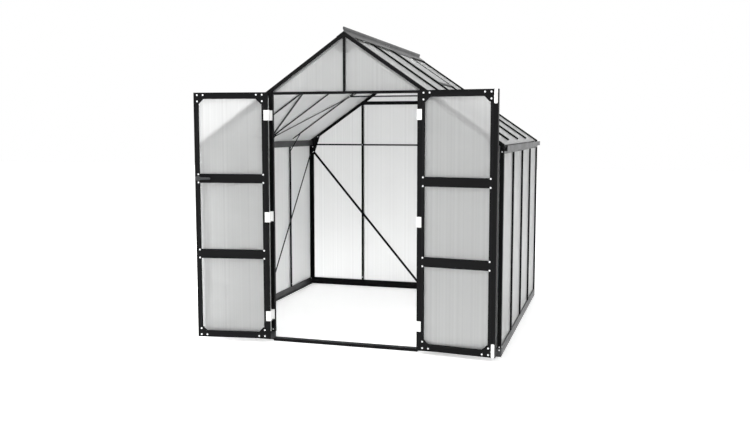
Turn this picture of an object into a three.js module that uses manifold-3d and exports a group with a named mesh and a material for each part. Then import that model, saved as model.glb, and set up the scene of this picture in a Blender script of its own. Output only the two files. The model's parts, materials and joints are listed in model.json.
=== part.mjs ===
// Garden greenhouse: a light frame of extruded bars, glazed with twin-wall sheet, with a double door.
// Millimetres, +Z up. The origin lies on the ground under the middle of the door threshold,
// +Y runs into the house and the outer face of the front wall is the plane y = 0.
import * as THREE from 'three';
import { mergeVertices } from 'three/addons/utils/BufferGeometryUtils.js';
import Module from 'manifold-3d';

// Overall sizes
const WIDTH = 2500; // over the corner posts
const DEPTH = 2500; // over the front and rear frames
const RIDGE_HEIGHT = 2475; // top of the rafters where they meet
const EAVE_HEIGHT = 1611; // top of the rafters over the outer face of the side walls
const BAYS = 4; // panes along each wall and slope
const CLEARANCE = 0.3; // between neighbouring pieces

// Glazing sheet and the bars that hold it
const SHEET = 4;
const GROOVE = 5; // slot in a bar for a sheet's edge
const GRIP = 8; // how far a sheet's edge runs into its bar
const CAP_DEPTH = 13.5; // part of a bar outside the sheet
const INNER_DEPTH = 11.5; // part of a wall bar inside the sheet
const ROOF_INNER_DEPTH = 7; // part of a roof bar inside the sheet
const BAR_WIDTH = 28;
const BAR_INNER_WIDTH = 20;
const WEB = 5; // joins a bar's cap to its inner flange, through the sheet
const WEB_SLOT = 6;
const GABLE_BAR_WIDTH = 18;
const GABLE_BAR_INNER_WIDTH = 14;

// Base rails and corner posts
const BASE_HEIGHT = 67;
const BASE_FLANGE = 45;
const BASE_SEAT = 51; // height of the groove's bottom
const RAIL_THICKNESS = 22;
const FLANGE_THICKNESS = 4;
const FACE_GROOVE = 2; // depth of the line along a rail's or rafter's outer face
const BASE_LINE_FOOT = 41.5;
const BASE_LINE_WIDTH = 6;
const POST_WIDTH = 30;
const LEG_THICKNESS = 4;

// Eaves
const EAVE_DROP = 48; // from the rafters' top down to the top of the eave beam
const EAVE_BEAM_HEIGHT = 24;
const EAVE_GROOVE_DEPTH = 10; // of the groove for the side wall's sheet, up from the beam's underside
const EAVE_PLATE_THICKNESS = 3;
const GUTTER_WIDTH = 26;
const GUTTER_WALL = 3;
const GUTTER_HEIGHT = 39; // of the outer wall, above the beam
const EAVE_FLANGE_INSET = 46;
const EAVE_FLANGE_FALL = 16; // how far the inner flange hangs below the top of the beam
const EAVE_FLANGE_RISE = 40; // how far it stands above it
const EAVE_PLATE = EAVE_HEIGHT - EAVE_DROP; // top of the beam
const EAVE_FOOT = EAVE_PLATE - EAVE_BEAM_HEIGHT; // underside of the beam, where the side bars end
const EAVE_SEAT = EAVE_FOOT + EAVE_GROOVE_DEPTH;

// Roof
const RAFTER_FACE = 28;
const RAFTER_DEPTH = 34;
const RAFTER_BLOCK = 26;
const RAFTER_LEG = 46;
const RAFTER_SEAT = 22;
const RAFTER_LINE_TOP = 10; // the line along a rafter's outer face, from its top down
const RAFTER_LINE_FOOT = 18;
const ROOF_BAR_INSET = 45; // from the side wall's outer face to a roof bar's foot
const ROOF_SHEET_INSET = 8;
const RIDGE_FLANGE = 60;
const RIDGE_FLANGE_THICKNESS = 3;
const RIDGE_FIN_RISE = 37; // of the fin's top over the rafters
const RIDGE_WEB = 5;
const RIDGE_LIP_WIDTH = 14;
const RIDGE_LIP_HEIGHT = 22;
const ROOF_BAR_REACH = WIDTH / 2 - ROOF_BAR_INSET; // both from the middle of the house
const ROOF_SHEET_REACH = WIDTH / 2 - ROOF_SHEET_INSET;
const RIDGE_FIN_TOP = RIDGE_HEIGHT + RIDGE_FIN_RISE;

// Roof vent, in the third bay of the right slope
const VENT_BAY = 2;
const VENT_FALL = 7; // from the ridge beam's edge down the slope to the vent
const VENT_LENGTH = 510;
const VENT_RAIL = 22;
const VENT_PROUD = 2;
const VENT_SHEET_DEPTH = 4;

// Rear wall rails
const REAR_RAIL_THICKNESS = 3;
const REAR_EAVE_RAIL = { fall: 17, height: 16, margin: 20 }; // fall from the top of the eave beams
const REAR_COLLAR_RAIL = { foot: 1984, height: 37 };

// Doorway
const JAMB_INSIDE = 604; // half of the clear width between the jambs
const JAMB_WIDTH = 32;
const JAMB_DEPTH = 30;
const LINTEL_FOOT = 1996;
const LINTEL_HEIGHT = 21;
const LINTEL_SEAT = 7;
const THRESHOLD_HEIGHT = 23;
const THRESHOLD_FRONT = -33;
const THRESHOLD_BACK = 24;

// Door leaves, each in a frame whose origin is its hinge pin on the ground
const PIN_PAST_JAMB = 11; // from the jamb's inner face
const PIN_Y = -46;
const PIN_TO_LEAF = 6; // from the pin to the leaf's outer face
const LEAF_THICKNESS = 32;
const LEAF_EDGE = 2.5; // how far the leaf runs past its pin
const LEAF_FOOT = 28;
const LEAF_LAP = 17; // how far a closed leaf runs up over the lintel
const LEFT_SHORT = 7; // from the left leaf's free edge to the middle of the doorway
const RIGHT_LAP = 2; // how far the right leaf's free edge runs past it
const PIN_X = JAMB_INSIDE + PIN_PAST_JAMB;
const LEAF_TOP = LINTEL_FOOT + LEAF_LAP;
const LEFT_REACH = PIN_X - LEFT_SHORT; // from the pin to the free edge
const RIGHT_REACH = PIN_X + RIGHT_LAP;
const LEFT_OPEN = 171; // degrees from closed
const RIGHT_OPEN = 174;
const HINGE_BAND = 31; // raised outer band of a stile, on the hinge side
const HINGE_LIP = 4; // thickness of the band's outer part, which is open behind
const HINGE_LIP_REACH = 12;
const LEFT_FREE_BAND = 13;
const RIGHT_FREE_BAND = 35;
const END_BAND = 8;
const INNER_STILE = 21; // recessed inner part of a stile
const END_RAIL = 49; // top and bottom rails
const MID_RAIL = 70;
const MID_RAIL_HEIGHTS = [716, 1328];
const MID_RAIL_WEB = 20;
const LEDGE_RECESS = 2;
const LEDGE_THICKNESS = 20;
const OUTER_RAIL_RECESS = 1;

// Hinges and handle
const LOW_HINGE_RISE = 186; // from the leaf's foot
const MID_HINGE_HEIGHT = 1020;
const TOP_HINGE_DROP = 181; // from the leaf's top
const HINGE_HEIGHTS = [LEAF_FOOT + LOW_HINGE_RISE, MID_HINGE_HEIGHT, LEAF_TOP - TOP_HINGE_DROP];
const HINGE_HEIGHT = 80;
const HINGE_LEAF = 33;
const HINGE_PLATE = 2.5;
const HINGE_STRAP = 3;
const HINGE_STRAP_START = 8; // from the pin towards the leaf's inner face
const KNUCKLE_RADIUS = 5.8;
const KNUCKLE_HEIGHT = 30;
const HANDLE_LENGTH = 98;
const HANDLE_HEIGHT = 20;
const HANDLE_TIP_HEIGHT = 16;
const HANDLE_THICKNESS = 10;
const HANDLE_STANDOFF = 14;
const HANDLE_ROSE_RADIUS = 17;
const HANDLE_EDGE = 26; // from the free edge to the handle's spindle

const SLOPE = (RIDGE_HEIGHT - EAVE_HEIGHT) / (WIDTH / 2);
const PITCH = Math.atan(SLOPE);
const VENT_TOP = RIDGE_FLANGE / Math.cos(PITCH) + VENT_FALL;
const SHEET_START = CAP_DEPTH + (GROOVE - SHEET) / 2;
const SHEET_BACK = CAP_DEPTH + GROOVE; // where the inner parts of bars, rails and rafters start
const BAR_DEPTH = SHEET_BACK + INNER_DEPTH;
const ROOF_BAR_DEPTH = SHEET_BACK + ROOF_INNER_DEPTH;
const OVERLAP = 2; // by which pieces of one solid run into each other before they are joined

const wasm = await Module();
wasm.setup();

const POWDER_COAT = { color: 0x2b2d2f, roughness: 0.55, metalness: 0.2 };
const GREY_COAT = { color: 0x5c5f62, roughness: 0.5, metalness: 0.3 };
const TWIN_WALL = { color: 0xd5dadb, roughness: 0.35, metalness: 0, transparent: true, opacity: 0.45 };
const WHITE_PLASTIC = { color: 0xededeb, roughness: 0.45, metalness: 0 };

function mesh(name, geometry, finish) {
  const material = new THREE.MeshStandardMaterial(finish);
  const piece = new THREE.Mesh(geometry, material);
  piece.name = name;
  return piece;
}

function outline(points) {
  return new THREE.Shape(points.map(([x, y]) => new THREE.Vector2(x, y)));
}

function rectangle(x0, y0, x1, y1) {
  return [[x0, y0], [x1, y0], [x1, y1], [x0, y1]];
}

function extrude(points, length) {
  return new THREE.ExtrudeGeometry(outline(points), { depth: length, bevelEnabled: false });
}

// Two distances on one side of the middle, given by hand, in rising order
function span(hand, a, b) {
  return [Math.min(hand * a, hand * b), Math.max(hand * a, hand * b)];
}

// Prism whose outline lies in the XY plane, from z0 to z1
function alongZ(points, z0, z1) {
  return extrude(points, z1 - z0).translate(0, 0, z0);
}

// Prism whose outline is given as (x, z), from y0 to y1
function alongY(points, y0, y1) {
  return extrude(points, y1 - y0).rotateX(Math.PI / 2).translate(0, y1, 0);
}

// Prism whose outline is given as (y, z), from x0 to x1
function alongX(points, x0, x1) {
  return extrude(points, x1 - x0).rotateX(Math.PI / 2).rotateZ(Math.PI / 2).translate(x0, 0, 0);
}

function box(x0, x1, y0, y1, z0, z1) {
  return new THREE.BoxGeometry(x1 - x0, y1 - y0, z1 - z0)
    .translate((x0 + x1) / 2, (y0 + y1) / 2, (z0 + z1) / 2);
}

function solid(geometry) {
  const bare = geometry.clone();
  bare.deleteAttribute('normal');
  bare.deleteAttribute('uv');
  const merged = mergeVertices(bare, 1e-4);
  const vertProperties = new Float32Array(merged.attributes.position.array);
  const triVerts = new Uint32Array(merged.index.array);
  return new wasm.Manifold(new wasm.Mesh({ numProp: 3, vertProperties, triVerts }));
}

function geometryOf(manifold) {
  const result = manifold.getMesh();
  const geometry = new THREE.BufferGeometry();
  geometry.setAttribute('position', new THREE.BufferAttribute(result.vertProperties, 3));
  geometry.setIndex(new THREE.BufferAttribute(result.triVerts, 1));
  geometry.computeVertexNormals();
  return geometry;
}

function join(first, ...others) {
  return geometryOf(others.reduce((sum, piece) => sum.add(solid(piece)), solid(first)));
}

function cut(body, ...tools) {
  return geometryOf(tools.reduce((rest, tool) => rest.subtract(solid(tool)), solid(body)));
}

function common(body, limit) {
  return geometryOf(solid(body).intersect(solid(limit)));
}

// Height of the line that lies a given depth under the rafters' top, at a distance from the middle
function roofHeight(distance, depth) {
  return RIDGE_HEIGHT - SLOPE * Math.abs(distance) - depth / Math.cos(PITCH);
}

// Everything under that line, as a prism over the whole wall's thickness
function underRoof(depth) {
  const half = WIDTH / 2;
  const points = [
    [-half, 0], [half, 0], [half, roofHeight(half, depth)],
    [0, roofHeight(0, depth)], [-half, roofHeight(half, depth)],
  ];
  return alongY(points, -1, DEPTH);
}

function placed(object, x, y, turn) {
  object.position.set(x, y, 0);
  object.rotation.z = turn;
  return object;
}

// Section of a glazing bar: cap outside the sheet, web through it and flange inside.
// Given across the bar and inwards from the outer face.
function barSection(width, innerWidth, depth) {
  const cap = width / 2;
  const web = WEB / 2;
  const inner = innerWidth / 2;
  return [
    [-cap, 0], [cap, 0], [cap, CAP_DEPTH], [web, CAP_DEPTH], [web, SHEET_BACK], [inner, SHEET_BACK],
    [inner, depth], [-inner, depth], [-inner, SHEET_BACK], [-web, SHEET_BACK], [-web, CAP_DEPTH],
    [-cap, CAP_DEPTH],
  ];
}

// Section of a base rail, given inwards from the outer face and upwards
function baseSection() {
  const lineTop = BASE_LINE_FOOT + BASE_LINE_WIDTH;
  return [
    [0, 0], [BASE_FLANGE, 0], [BASE_FLANGE, FLANGE_THICKNESS], [RAIL_THICKNESS, FLANGE_THICKNESS],
    [RAIL_THICKNESS, BASE_HEIGHT], [SHEET_BACK, BASE_HEIGHT], [SHEET_BACK, BASE_SEAT], [CAP_DEPTH, BASE_SEAT],
    [CAP_DEPTH, BASE_HEIGHT], [0, BASE_HEIGHT], [0, lineTop], [FACE_GROOVE, lineTop],
    [FACE_GROOVE, BASE_LINE_FOOT], [0, BASE_LINE_FOOT],
  ];
}

// Corner post with a groove for each of the two sheets that meet there
function postSection() {
  const seat = POST_WIDTH - GRIP;
  const leg = SHEET_BACK + LEG_THICKNESS;
  return [
    [0, 0], [POST_WIDTH, 0], [POST_WIDTH, CAP_DEPTH], [seat, CAP_DEPTH], [seat, SHEET_BACK],
    [POST_WIDTH, SHEET_BACK], [POST_WIDTH, leg], [leg, leg], [leg, POST_WIDTH], [SHEET_BACK, POST_WIDTH],
    [SHEET_BACK, seat], [CAP_DEPTH, seat], [CAP_DEPTH, POST_WIDTH], [0, POST_WIDTH],
  ];
}

function barPositions(length) {
  const pitch = length / BAYS;
  return Array.from({ length: BAYS - 1 }, (_, i) => (i + 1) * pitch - length / 2);
}

// Base rail, glazing bars and sheet of one side wall, in the wall's own frame:
// x along the wall from its middle, y inwards from its outer face.
function sideWall(side) {
  const wall = new THREE.Group();
  const inset = BASE_FLANGE + CLEARANCE;
  const half = DEPTH / 2 - inset;
  wall.add(mesh(`${side}_base_rail`, alongX(baseSection(), -half, half), GREY_COAT));
  const foot = BASE_HEIGHT + CLEARANCE;
  const top = EAVE_FOOT - CLEARANCE;
  const section = barSection(BAR_WIDTH, BAR_INNER_WIDTH, BAR_DEPTH);
  const slots = [];
  barPositions(DEPTH).forEach((x, i) => {
    const bar = mesh(`${side}_wall_bar_${i + 1}`, alongZ(section, foot, top), POWDER_COAT);
    bar.position.x = x;
    wall.add(bar);
    slots.push(box(x - WEB_SLOT / 2, x + WEB_SLOT / 2, 0, RAIL_THICKNESS, BASE_HEIGHT, EAVE_FOOT));
  });
  const edge = DEPTH / 2 - POST_WIDTH + GRIP - CLEARANCE;
  const sheet = box(-edge, edge, SHEET_START, SHEET_START + SHEET,
    BASE_SEAT + CLEARANCE, EAVE_SEAT - CLEARANCE);
  wall.add(mesh(`${side}_wall_sheet`, cut(sheet, ...slots), TWIN_WALL));
  wall.add(eaveBeam(side));
  return wall;
}

// Eave beam with the gutter on its outer side; the gutter runs past the beam to the gable faces
function eaveBeam(side) {
  const plateFoot = EAVE_PLATE - EAVE_PLATE_THICKNESS;
  const shelfFoot = plateFoot - EAVE_PLATE_THICKNESS;
  const flangeFront = EAVE_FLANGE_INSET;
  const flangeBack = EAVE_FLANGE_INSET + EAVE_PLATE_THICKNESS;
  const flangeFoot = EAVE_PLATE - EAVE_FLANGE_FALL;
  const flangeTop = EAVE_PLATE + EAVE_FLANGE_RISE;
  const beam = [
    [-OVERLAP, plateFoot], [0, plateFoot], [0, EAVE_FOOT], [CAP_DEPTH, EAVE_FOOT], [CAP_DEPTH, EAVE_SEAT],
    [SHEET_BACK, EAVE_SEAT], [SHEET_BACK, EAVE_FOOT], [RAIL_THICKNESS, EAVE_FOOT],
    [RAIL_THICKNESS, shelfFoot], [flangeFront, shelfFoot], [flangeFront, flangeFoot],
    [flangeBack, flangeFoot], [flangeBack, flangeTop], [flangeFront, flangeTop],
    [flangeFront, EAVE_PLATE], [-OVERLAP, EAVE_PLATE],
  ];
  const outer = -CLEARANCE;
  const front = outer - GUTTER_WIDTH;
  const gutterTop = EAVE_PLATE + GUTTER_HEIGHT;
  const gutter = [
    [front, plateFoot], [outer, plateFoot], [outer, EAVE_PLATE], [front + GUTTER_WALL, EAVE_PLATE],
    [front + GUTTER_WALL, gutterTop], [front, gutterTop],
  ];
  const beamHalf = DEPTH / 2 - RAFTER_DEPTH - CLEARANCE;
  const joined = join(alongX(beam, -beamHalf, beamHalf), alongX(gutter, -DEPTH / 2, DEPTH / 2));
  return mesh(`${side}_eave_beam`, joined, GREY_COAT);
}

// Corner post of a gable wall, at the end that hand gives, in that wall's frame
function cornerPost(name, hand) {
  const half = WIDTH / 2;
  const points = postSection().map(([x, y]) => [hand * (half - x), y]);
  const post = alongZ(points, BASE_HEIGHT + CLEARANCE, RIDGE_HEIGHT);
  return mesh(name, common(post, underRoof(RAFTER_FACE + CLEARANCE)), POWDER_COAT);
}

// Sheet of a gable wall between two distances from the middle, up into the rafters' grooves
function gableSheet(x0, x1, foot) {
  const depth = RAFTER_SEAT + CLEARANCE;
  const sheet = box(x0, x1, SHEET_START, SHEET_START + SHEET, foot, RIDGE_HEIGHT);
  return common(sheet, underRoof(depth));
}

function rearWall() {
  const wall = new THREE.Group();
  const half = WIDTH / 2;
  wall.add(mesh('rear_base_rail', alongX(baseSection(), -half, half), GREY_COAT));
  wall.add(cornerPost('rear_right_post', -1));
  wall.add(cornerPost('rear_left_post', 1));
  const section = barSection(BAR_WIDTH, BAR_INNER_WIDTH, BAR_DEPTH);
  const slots = [];
  barPositions(WIDTH).forEach((x, i) => {
    const points = section.map(([u, v]) => [x + u, v]);
    const bar = alongZ(points, BASE_HEIGHT + CLEARANCE, RIDGE_HEIGHT);
    const trimmed = common(bar, underRoof(RAFTER_LEG + CLEARANCE));
    wall.add(mesh(`rear_wall_bar_${i + 1}`, trimmed, POWDER_COAT));
    slots.push(box(x - WEB_SLOT / 2, x + WEB_SLOT / 2, 0, RAIL_THICKNESS, BASE_HEIGHT, RIDGE_HEIGHT));
  });
  const edge = half - POST_WIDTH + GRIP - CLEARANCE;
  const sheet = gableSheet(-edge, edge, BASE_SEAT + CLEARANCE);
  wall.add(mesh('rear_wall_sheet', cut(sheet, ...slots), TWIN_WALL));
  const outside = BAR_DEPTH + CLEARANCE;
  const inside = outside + REAR_RAIL_THICKNESS;
  const { fall, height, margin } = REAR_EAVE_RAIL;
  const foot = EAVE_PLATE - fall;
  const eaveRail = box(-half + margin, half - margin, outside, inside, foot, foot + height);
  wall.add(mesh('rear_eave_rail', common(eaveRail, underRoof(RAFTER_BLOCK + CLEARANCE)), POWDER_COAT));
  const collarFoot = REAR_COLLAR_RAIL.foot;
  const collar = box(-half, half, outside, inside, collarFoot, collarFoot + REAR_COLLAR_RAIL.height);
  wall.add(mesh('rear_collar_rail', common(collar, underRoof(RAFTER_BLOCK + CLEARANCE)), POWDER_COAT));
  return wall;
}

function frontWall() {
  const wall = new THREE.Group();
  const half = WIDTH / 2;
  const jambOutside = JAMB_INSIDE + JAMB_WIDTH;
  for (const [side, hand] of [['left', -1], ['right', 1]]) {
    const rail = alongX(baseSection(), ...span(hand, JAMB_INSIDE, half));
    wall.add(mesh(`front_${side}_base_rail`, rail, GREY_COAT));
    wall.add(cornerPost(`front_${side}_post`, hand));
    wall.add(mesh(`${side}_door_jamb`, doorJamb(hand), POWDER_COAT));
    const inner = jambOutside - GRIP + CLEARANCE;
    const outer = half - POST_WIDTH + GRIP - CLEARANCE;
    const sheet = gableSheet(...span(hand, inner, outer), BASE_SEAT + CLEARANCE);
    wall.add(mesh(`front_${side}_sheet`, sheet, TWIN_WALL));
  }
  const threshold = box(-JAMB_INSIDE + CLEARANCE, JAMB_INSIDE - CLEARANCE, THRESHOLD_FRONT, THRESHOLD_BACK,
    0, THRESHOLD_HEIGHT);
  wall.add(mesh('door_threshold', threshold, POWDER_COAT));
  wall.add(mesh('door_lintel', doorLintel(), POWDER_COAT));
  wall.add(...gablePanel());
  return wall;
}

function doorJamb(hand) {
  const outside = JAMB_INSIDE + JAMB_WIDTH;
  const points = [
    [JAMB_INSIDE, 0], [outside, 0], [outside, CAP_DEPTH], [outside - GRIP, CAP_DEPTH],
    [outside - GRIP, SHEET_BACK], [outside, SHEET_BACK], [outside, JAMB_DEPTH], [JAMB_INSIDE, JAMB_DEPTH],
  ];
  const bar = alongZ(points.map(([x, y]) => [hand * x, y]), BASE_HEIGHT + CLEARANCE, RIDGE_HEIGHT);
  return cut(common(bar, underRoof(RAFTER_FACE + CLEARANCE)), rafterLegSpace());
}

// Space that the inner legs of the rafters take up behind a gable wall's sheet
function rafterLegSpace() {
  const near = SHEET_BACK - CLEARANCE;
  const far = SHEET_BACK + LEG_THICKNESS + CLEARANCE;
  const leg = box(-WIDTH, WIDTH, near, far, 0, 2 * RIDGE_HEIGHT);
  return cut(leg, underRoof(RAFTER_LEG + CLEARANCE));
}

function doorLintel() {
  const top = LINTEL_FOOT + LINTEL_HEIGHT;
  const seat = LINTEL_FOOT + LINTEL_SEAT;
  const section = [
    [0, LINTEL_FOOT], [JAMB_DEPTH, LINTEL_FOOT], [JAMB_DEPTH, top], [SHEET_BACK, top],
    [SHEET_BACK, seat], [CAP_DEPTH, seat], [CAP_DEPTH, top], [0, top],
  ];
  const reach = JAMB_INSIDE - CLEARANCE;
  const bar = alongX(section, -reach, reach);
  return cut(common(bar, underRoof(RAFTER_FACE + CLEARANCE)), rafterLegSpace());
}

// Sheet over the doorway with the bar in its middle
function gablePanel() {
  const foot = LINTEL_FOOT + LINTEL_SEAT + CLEARANCE;
  const top = LINTEL_FOOT + LINTEL_HEIGHT;
  const slot = box(-WEB_SLOT / 2, WEB_SLOT / 2, 0, RAIL_THICKNESS, top, RIDGE_HEIGHT);
  const reach = JAMB_INSIDE - CLEARANCE;
  const sheet = cut(gableSheet(-reach, reach, foot), slot);
  const section = barSection(GABLE_BAR_WIDTH, GABLE_BAR_INNER_WIDTH, BAR_DEPTH);
  const bar = alongZ(section, top + CLEARANCE, RIDGE_HEIGHT);
  const trimmed = cut(common(bar, underRoof(RAFTER_FACE + CLEARANCE)), rafterLegSpace());
  return [mesh('front_gable_sheet', sheet, TWIN_WALL), mesh('front_gable_bar', trimmed, POWDER_COAT)];
}

// One slope of the roof, in its own frame: x down the slope from the ridge, y along the house from its
// middle and z out of the slope, with the rafters' top at z = 0.
function roofSlope(side) {
  const slope = new THREE.Group();
  slope.position.z = RIDGE_HEIGHT;
  slope.rotation.y = PITCH;
  const turned = side === 'left';
  const section = barSection(BAR_WIDTH, BAR_INNER_WIDTH, ROOF_BAR_DEPTH).map(([u, v]) => [u, -v]);
  const start = ROOF_BAR_DEPTH * SLOPE + 2 * CLEARANCE;
  const end = ROOF_BAR_REACH / Math.cos(PITCH);
  const slots = [];
  barPositions(DEPTH).forEach((y, i) => {
    const number = turned ? BAYS - 1 - i : i + 1;
    const bar = mesh(`${side}_roof_bar_${number}`, alongX(section, start, end), POWDER_COAT);
    bar.position.y = y;
    slope.add(bar);
    const edge = WEB_SLOT / 2;
    slots.push(box(start - CLEARANCE, end + CLEARANCE, y - edge, y + edge, -RAIL_THICKNESS, 0));
  });
  const half = DEPTH / 2 - RAFTER_DEPTH + LEG_THICKNESS - CLEARANCE;
  const sheetStart = (SHEET_START + SHEET) * SLOPE + 2 * CLEARANCE;
  const sheetEnd = ROOF_SHEET_REACH / Math.cos(PITCH);
  const sheet = box(sheetStart, sheetEnd, -half, half, -SHEET_START - SHEET, -SHEET_START);
  const hole = side === 'right' ? [ventOpening()] : [];
  slope.add(mesh(`${side}_roof_sheet`, cut(sheet, ...slots, ...hole), TWIN_WALL));
  const nearName = turned ? 'rear' : 'front';
  const farName = turned ? 'front' : 'rear';
  slope.add(mesh(`${nearName}_${side}_rafter`, rafter(-1), POWDER_COAT));
  slope.add(mesh(`${farName}_${side}_rafter`, rafter(1), POWDER_COAT));
  if (side === 'right') slope.add(...roofVent());
  return slope;
}

// Gable rafter with grooves for the wall's sheet and the roof's sheet, mitred at the ridge
// and cut upright over the side wall
function rafter(end) {
  const leg = SHEET_BACK + LEG_THICKNESS;
  const roofSeat = RAFTER_DEPTH - LEG_THICKNESS;
  const body = [
    [0, 0], [0, RAFTER_LINE_TOP], [FACE_GROOVE, RAFTER_LINE_TOP], [FACE_GROOVE, RAFTER_LINE_FOOT],
    [0, RAFTER_LINE_FOOT], [0, RAFTER_FACE],
    [CAP_DEPTH, RAFTER_FACE], [CAP_DEPTH, RAFTER_SEAT], [SHEET_BACK, RAFTER_SEAT], [SHEET_BACK, RAFTER_BLOCK],
    [RAFTER_DEPTH, RAFTER_BLOCK], [RAFTER_DEPTH, SHEET_BACK], [roofSeat, SHEET_BACK], [roofSeat, CAP_DEPTH],
    [RAFTER_DEPTH, CAP_DEPTH], [RAFTER_DEPTH, 0],
  ];
  const inner = rectangle(SHEET_BACK, RAFTER_BLOCK - OVERLAP, leg, RAFTER_LEG);
  const toSlope = ([y, depth]) => [end * (DEPTH / 2 - y), -depth];
  const length = WIDTH / 2 / Math.cos(PITCH);
  const outer = common(alongX(body.map(toSlope), -RAFTER_LEG, length + RAFTER_LEG), rafterEnds(WIDTH / 2));
  const reach = WIDTH / 2 - POST_WIDTH - OVERLAP;
  const flange = common(alongX(inner.map(toSlope), -RAFTER_LEG, length), rafterEnds(reach));
  return join(outer, flange);
}

// Upright planes at the ridge and at a distance from the middle of the house, in the slope's frame
function rafterEnds(distance) {
  const down = RAFTER_LEG * 2;
  const ridge = CLEARANCE / 2 / Math.cos(PITCH);
  const foot = distance / Math.cos(PITCH);
  const lean = SLOPE * down;
  const points = [
    [ridge - lean / 2, down / 2], [foot - lean / 2, down / 2],
    [foot + lean, -down], [ridge + lean, -down],
  ];
  return alongY(points, -DEPTH, DEPTH);
}

function ventBay() {
  const bay = DEPTH / BAYS;
  const low = VENT_BAY * bay - DEPTH / 2 + BAR_WIDTH / 2;
  const high = (VENT_BAY + 1) * bay - DEPTH / 2 - BAR_WIDTH / 2;
  return [low + OVERLAP, high - OVERLAP];
}

function ventOpening() {
  const [low, high] = ventBay();
  const rim = VENT_RAIL / 2;
  return box(VENT_TOP + rim, VENT_TOP + VENT_LENGTH - rim, low + rim, high - rim, -RAIL_THICKNESS, 0);
}

function roofVent() {
  const [low, high] = ventBay();
  const foot = -CAP_DEPTH;
  const ring = box(VENT_TOP, VENT_TOP + VENT_LENGTH, low, high, foot, VENT_PROUD);
  const opening = box(VENT_TOP + VENT_RAIL, VENT_TOP + VENT_LENGTH - VENT_RAIL,
    low + VENT_RAIL, high - VENT_RAIL, foot - 1, VENT_PROUD + 1);
  const edge = VENT_RAIL + CLEARANCE;
  const pane = box(VENT_TOP + edge, VENT_TOP + VENT_LENGTH - edge, low + edge, high - edge,
    -VENT_SHEET_DEPTH - SHEET, -VENT_SHEET_DEPTH);
  return [mesh('roof_vent_frame', cut(ring, opening), GREY_COAT), mesh('roof_vent_sheet', pane, TWIN_WALL)];
}

// Ridge beam: two flanges over the slopes and an upright fin with a rounded lip
function ridgeBeam() {
  const web = RIDGE_WEB / 2;
  const lip = RIDGE_LIP_WIDTH / 2;
  const lipFoot = RIDGE_FIN_TOP - RIDGE_LIP_HEIGHT;
  const under = -CLEARANCE;
  const over = under - RIDGE_FLANGE_THICKNESS;
  const right = [
    [0, roofHeight(0, under)], [RIDGE_FLANGE, roofHeight(RIDGE_FLANGE, under)],
    [RIDGE_FLANGE, roofHeight(RIDGE_FLANGE, over)], [web, roofHeight(web, over)],
    [web, lipFoot], [lip, lipFoot],
  ];
  const steps = 6;
  for (let i = 0; i <= steps; i += 1) {
    const angle = (i / steps) * (Math.PI / 2);
    right.push([lip * Math.cos(angle), RIDGE_FIN_TOP - lip + lip * Math.sin(angle)]);
  }
  const left = right.slice(1, -1).reverse().map(([x, z]) => [-x, z]);
  return mesh('ridge_beam', alongY([...right, ...left], 0, DEPTH), GREY_COAT);
}

// Frame of a door leaf: raised outer band, recessed inner frame with two mid rails,
// and the outer halves of those rails
function leafFrame(hand, reach, freeBand) {
  const outside = PIN_TO_LEAF;
  const inside = PIN_TO_LEAF + LEAF_THICKNESS;
  const ledgeInside = inside - LEDGE_RECESS;
  const ledgeOutside = ledgeInside - LEDGE_THICKNESS;
  const railOutside = outside + OUTER_RAIL_RECESS;
  const railInside = ledgeOutside - GROOVE;
  const slab = (a, b, y0, y1, z0, z1) => box(...span(hand, a, b), y0, y1, z0, z1);
  const bandIn = -LEAF_EDGE + HINGE_BAND;
  const bandOut = reach - freeBand;
  const bandFoot = LEAF_FOOT + END_BAND;
  const bandTop = LEAF_TOP - END_BAND;
  const band = cut(slab(-LEAF_EDGE, reach, outside, inside, LEAF_FOOT, LEAF_TOP),
    slab(bandIn, bandOut, outside - 1, inside + 1, bandFoot, bandTop),
    slab(-LEAF_EDGE - 1, HINGE_LIP_REACH, outside - 1, inside - HINGE_LIP, 0, LEAF_TOP + 1));
  const stileIn = bandIn + INNER_STILE;
  const stileOut = bandOut - INNER_STILE;
  const low = [LEAF_FOOT + END_RAIL, ...MID_RAIL_HEIGHTS.map((z) => z + MID_RAIL / 2)];
  const high = [...MID_RAIL_HEIGHTS.map((z) => z - MID_RAIL / 2), LEAF_TOP - END_RAIL];
  const windows = low.map((z, i) => slab(stileIn, stileOut, ledgeOutside - 1, ledgeInside + 1, z, high[i]));
  const ledge = cut(slab(bandIn - OVERLAP, bandOut + OVERLAP, ledgeOutside, ledgeInside,
    bandFoot - OVERLAP, bandTop + OVERLAP), ...windows);
  const rails = MID_RAIL_HEIGHTS.flatMap((z) => [
    slab(bandIn - OVERLAP, bandOut + OVERLAP, railOutside, railInside, z - MID_RAIL / 2, z + MID_RAIL / 2),
    slab(bandIn + 2 * GRIP, bandOut - 2 * GRIP, railInside - OVERLAP, ledgeOutside + OVERLAP,
      z - MID_RAIL_WEB / 2, z + MID_RAIL_WEB / 2),
  ]);
  return join(band, ledge, ...rails);
}

// Sheet of a door leaf, in one piece that is slotted where the webs of the mid rails pass
function leafSheet(hand, reach, freeBand) {
  const inside = PIN_TO_LEAF + LEAF_THICKNESS - LEDGE_RECESS - LEDGE_THICKNESS - (GROOVE - SHEET) / 2;
  const bandIn = HINGE_BAND - LEAF_EDGE;
  const bandOut = reach - freeBand;
  const end = END_BAND + CLEARANCE;
  const sheet = box(...span(hand, bandIn + CLEARANCE, bandOut - CLEARANCE), inside - SHEET, inside,
    LEAF_FOOT + end, LEAF_TOP - end);
  const slots = MID_RAIL_HEIGHTS.map((z) => box(...span(hand, bandIn + GRIP, bandOut - GRIP),
    inside - GROOVE - 1, inside + 1, z - MID_RAIL_WEB / 2 - 1, z + MID_RAIL_WEB / 2 + 1));
  return cut(sheet, ...slots);
}

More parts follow.
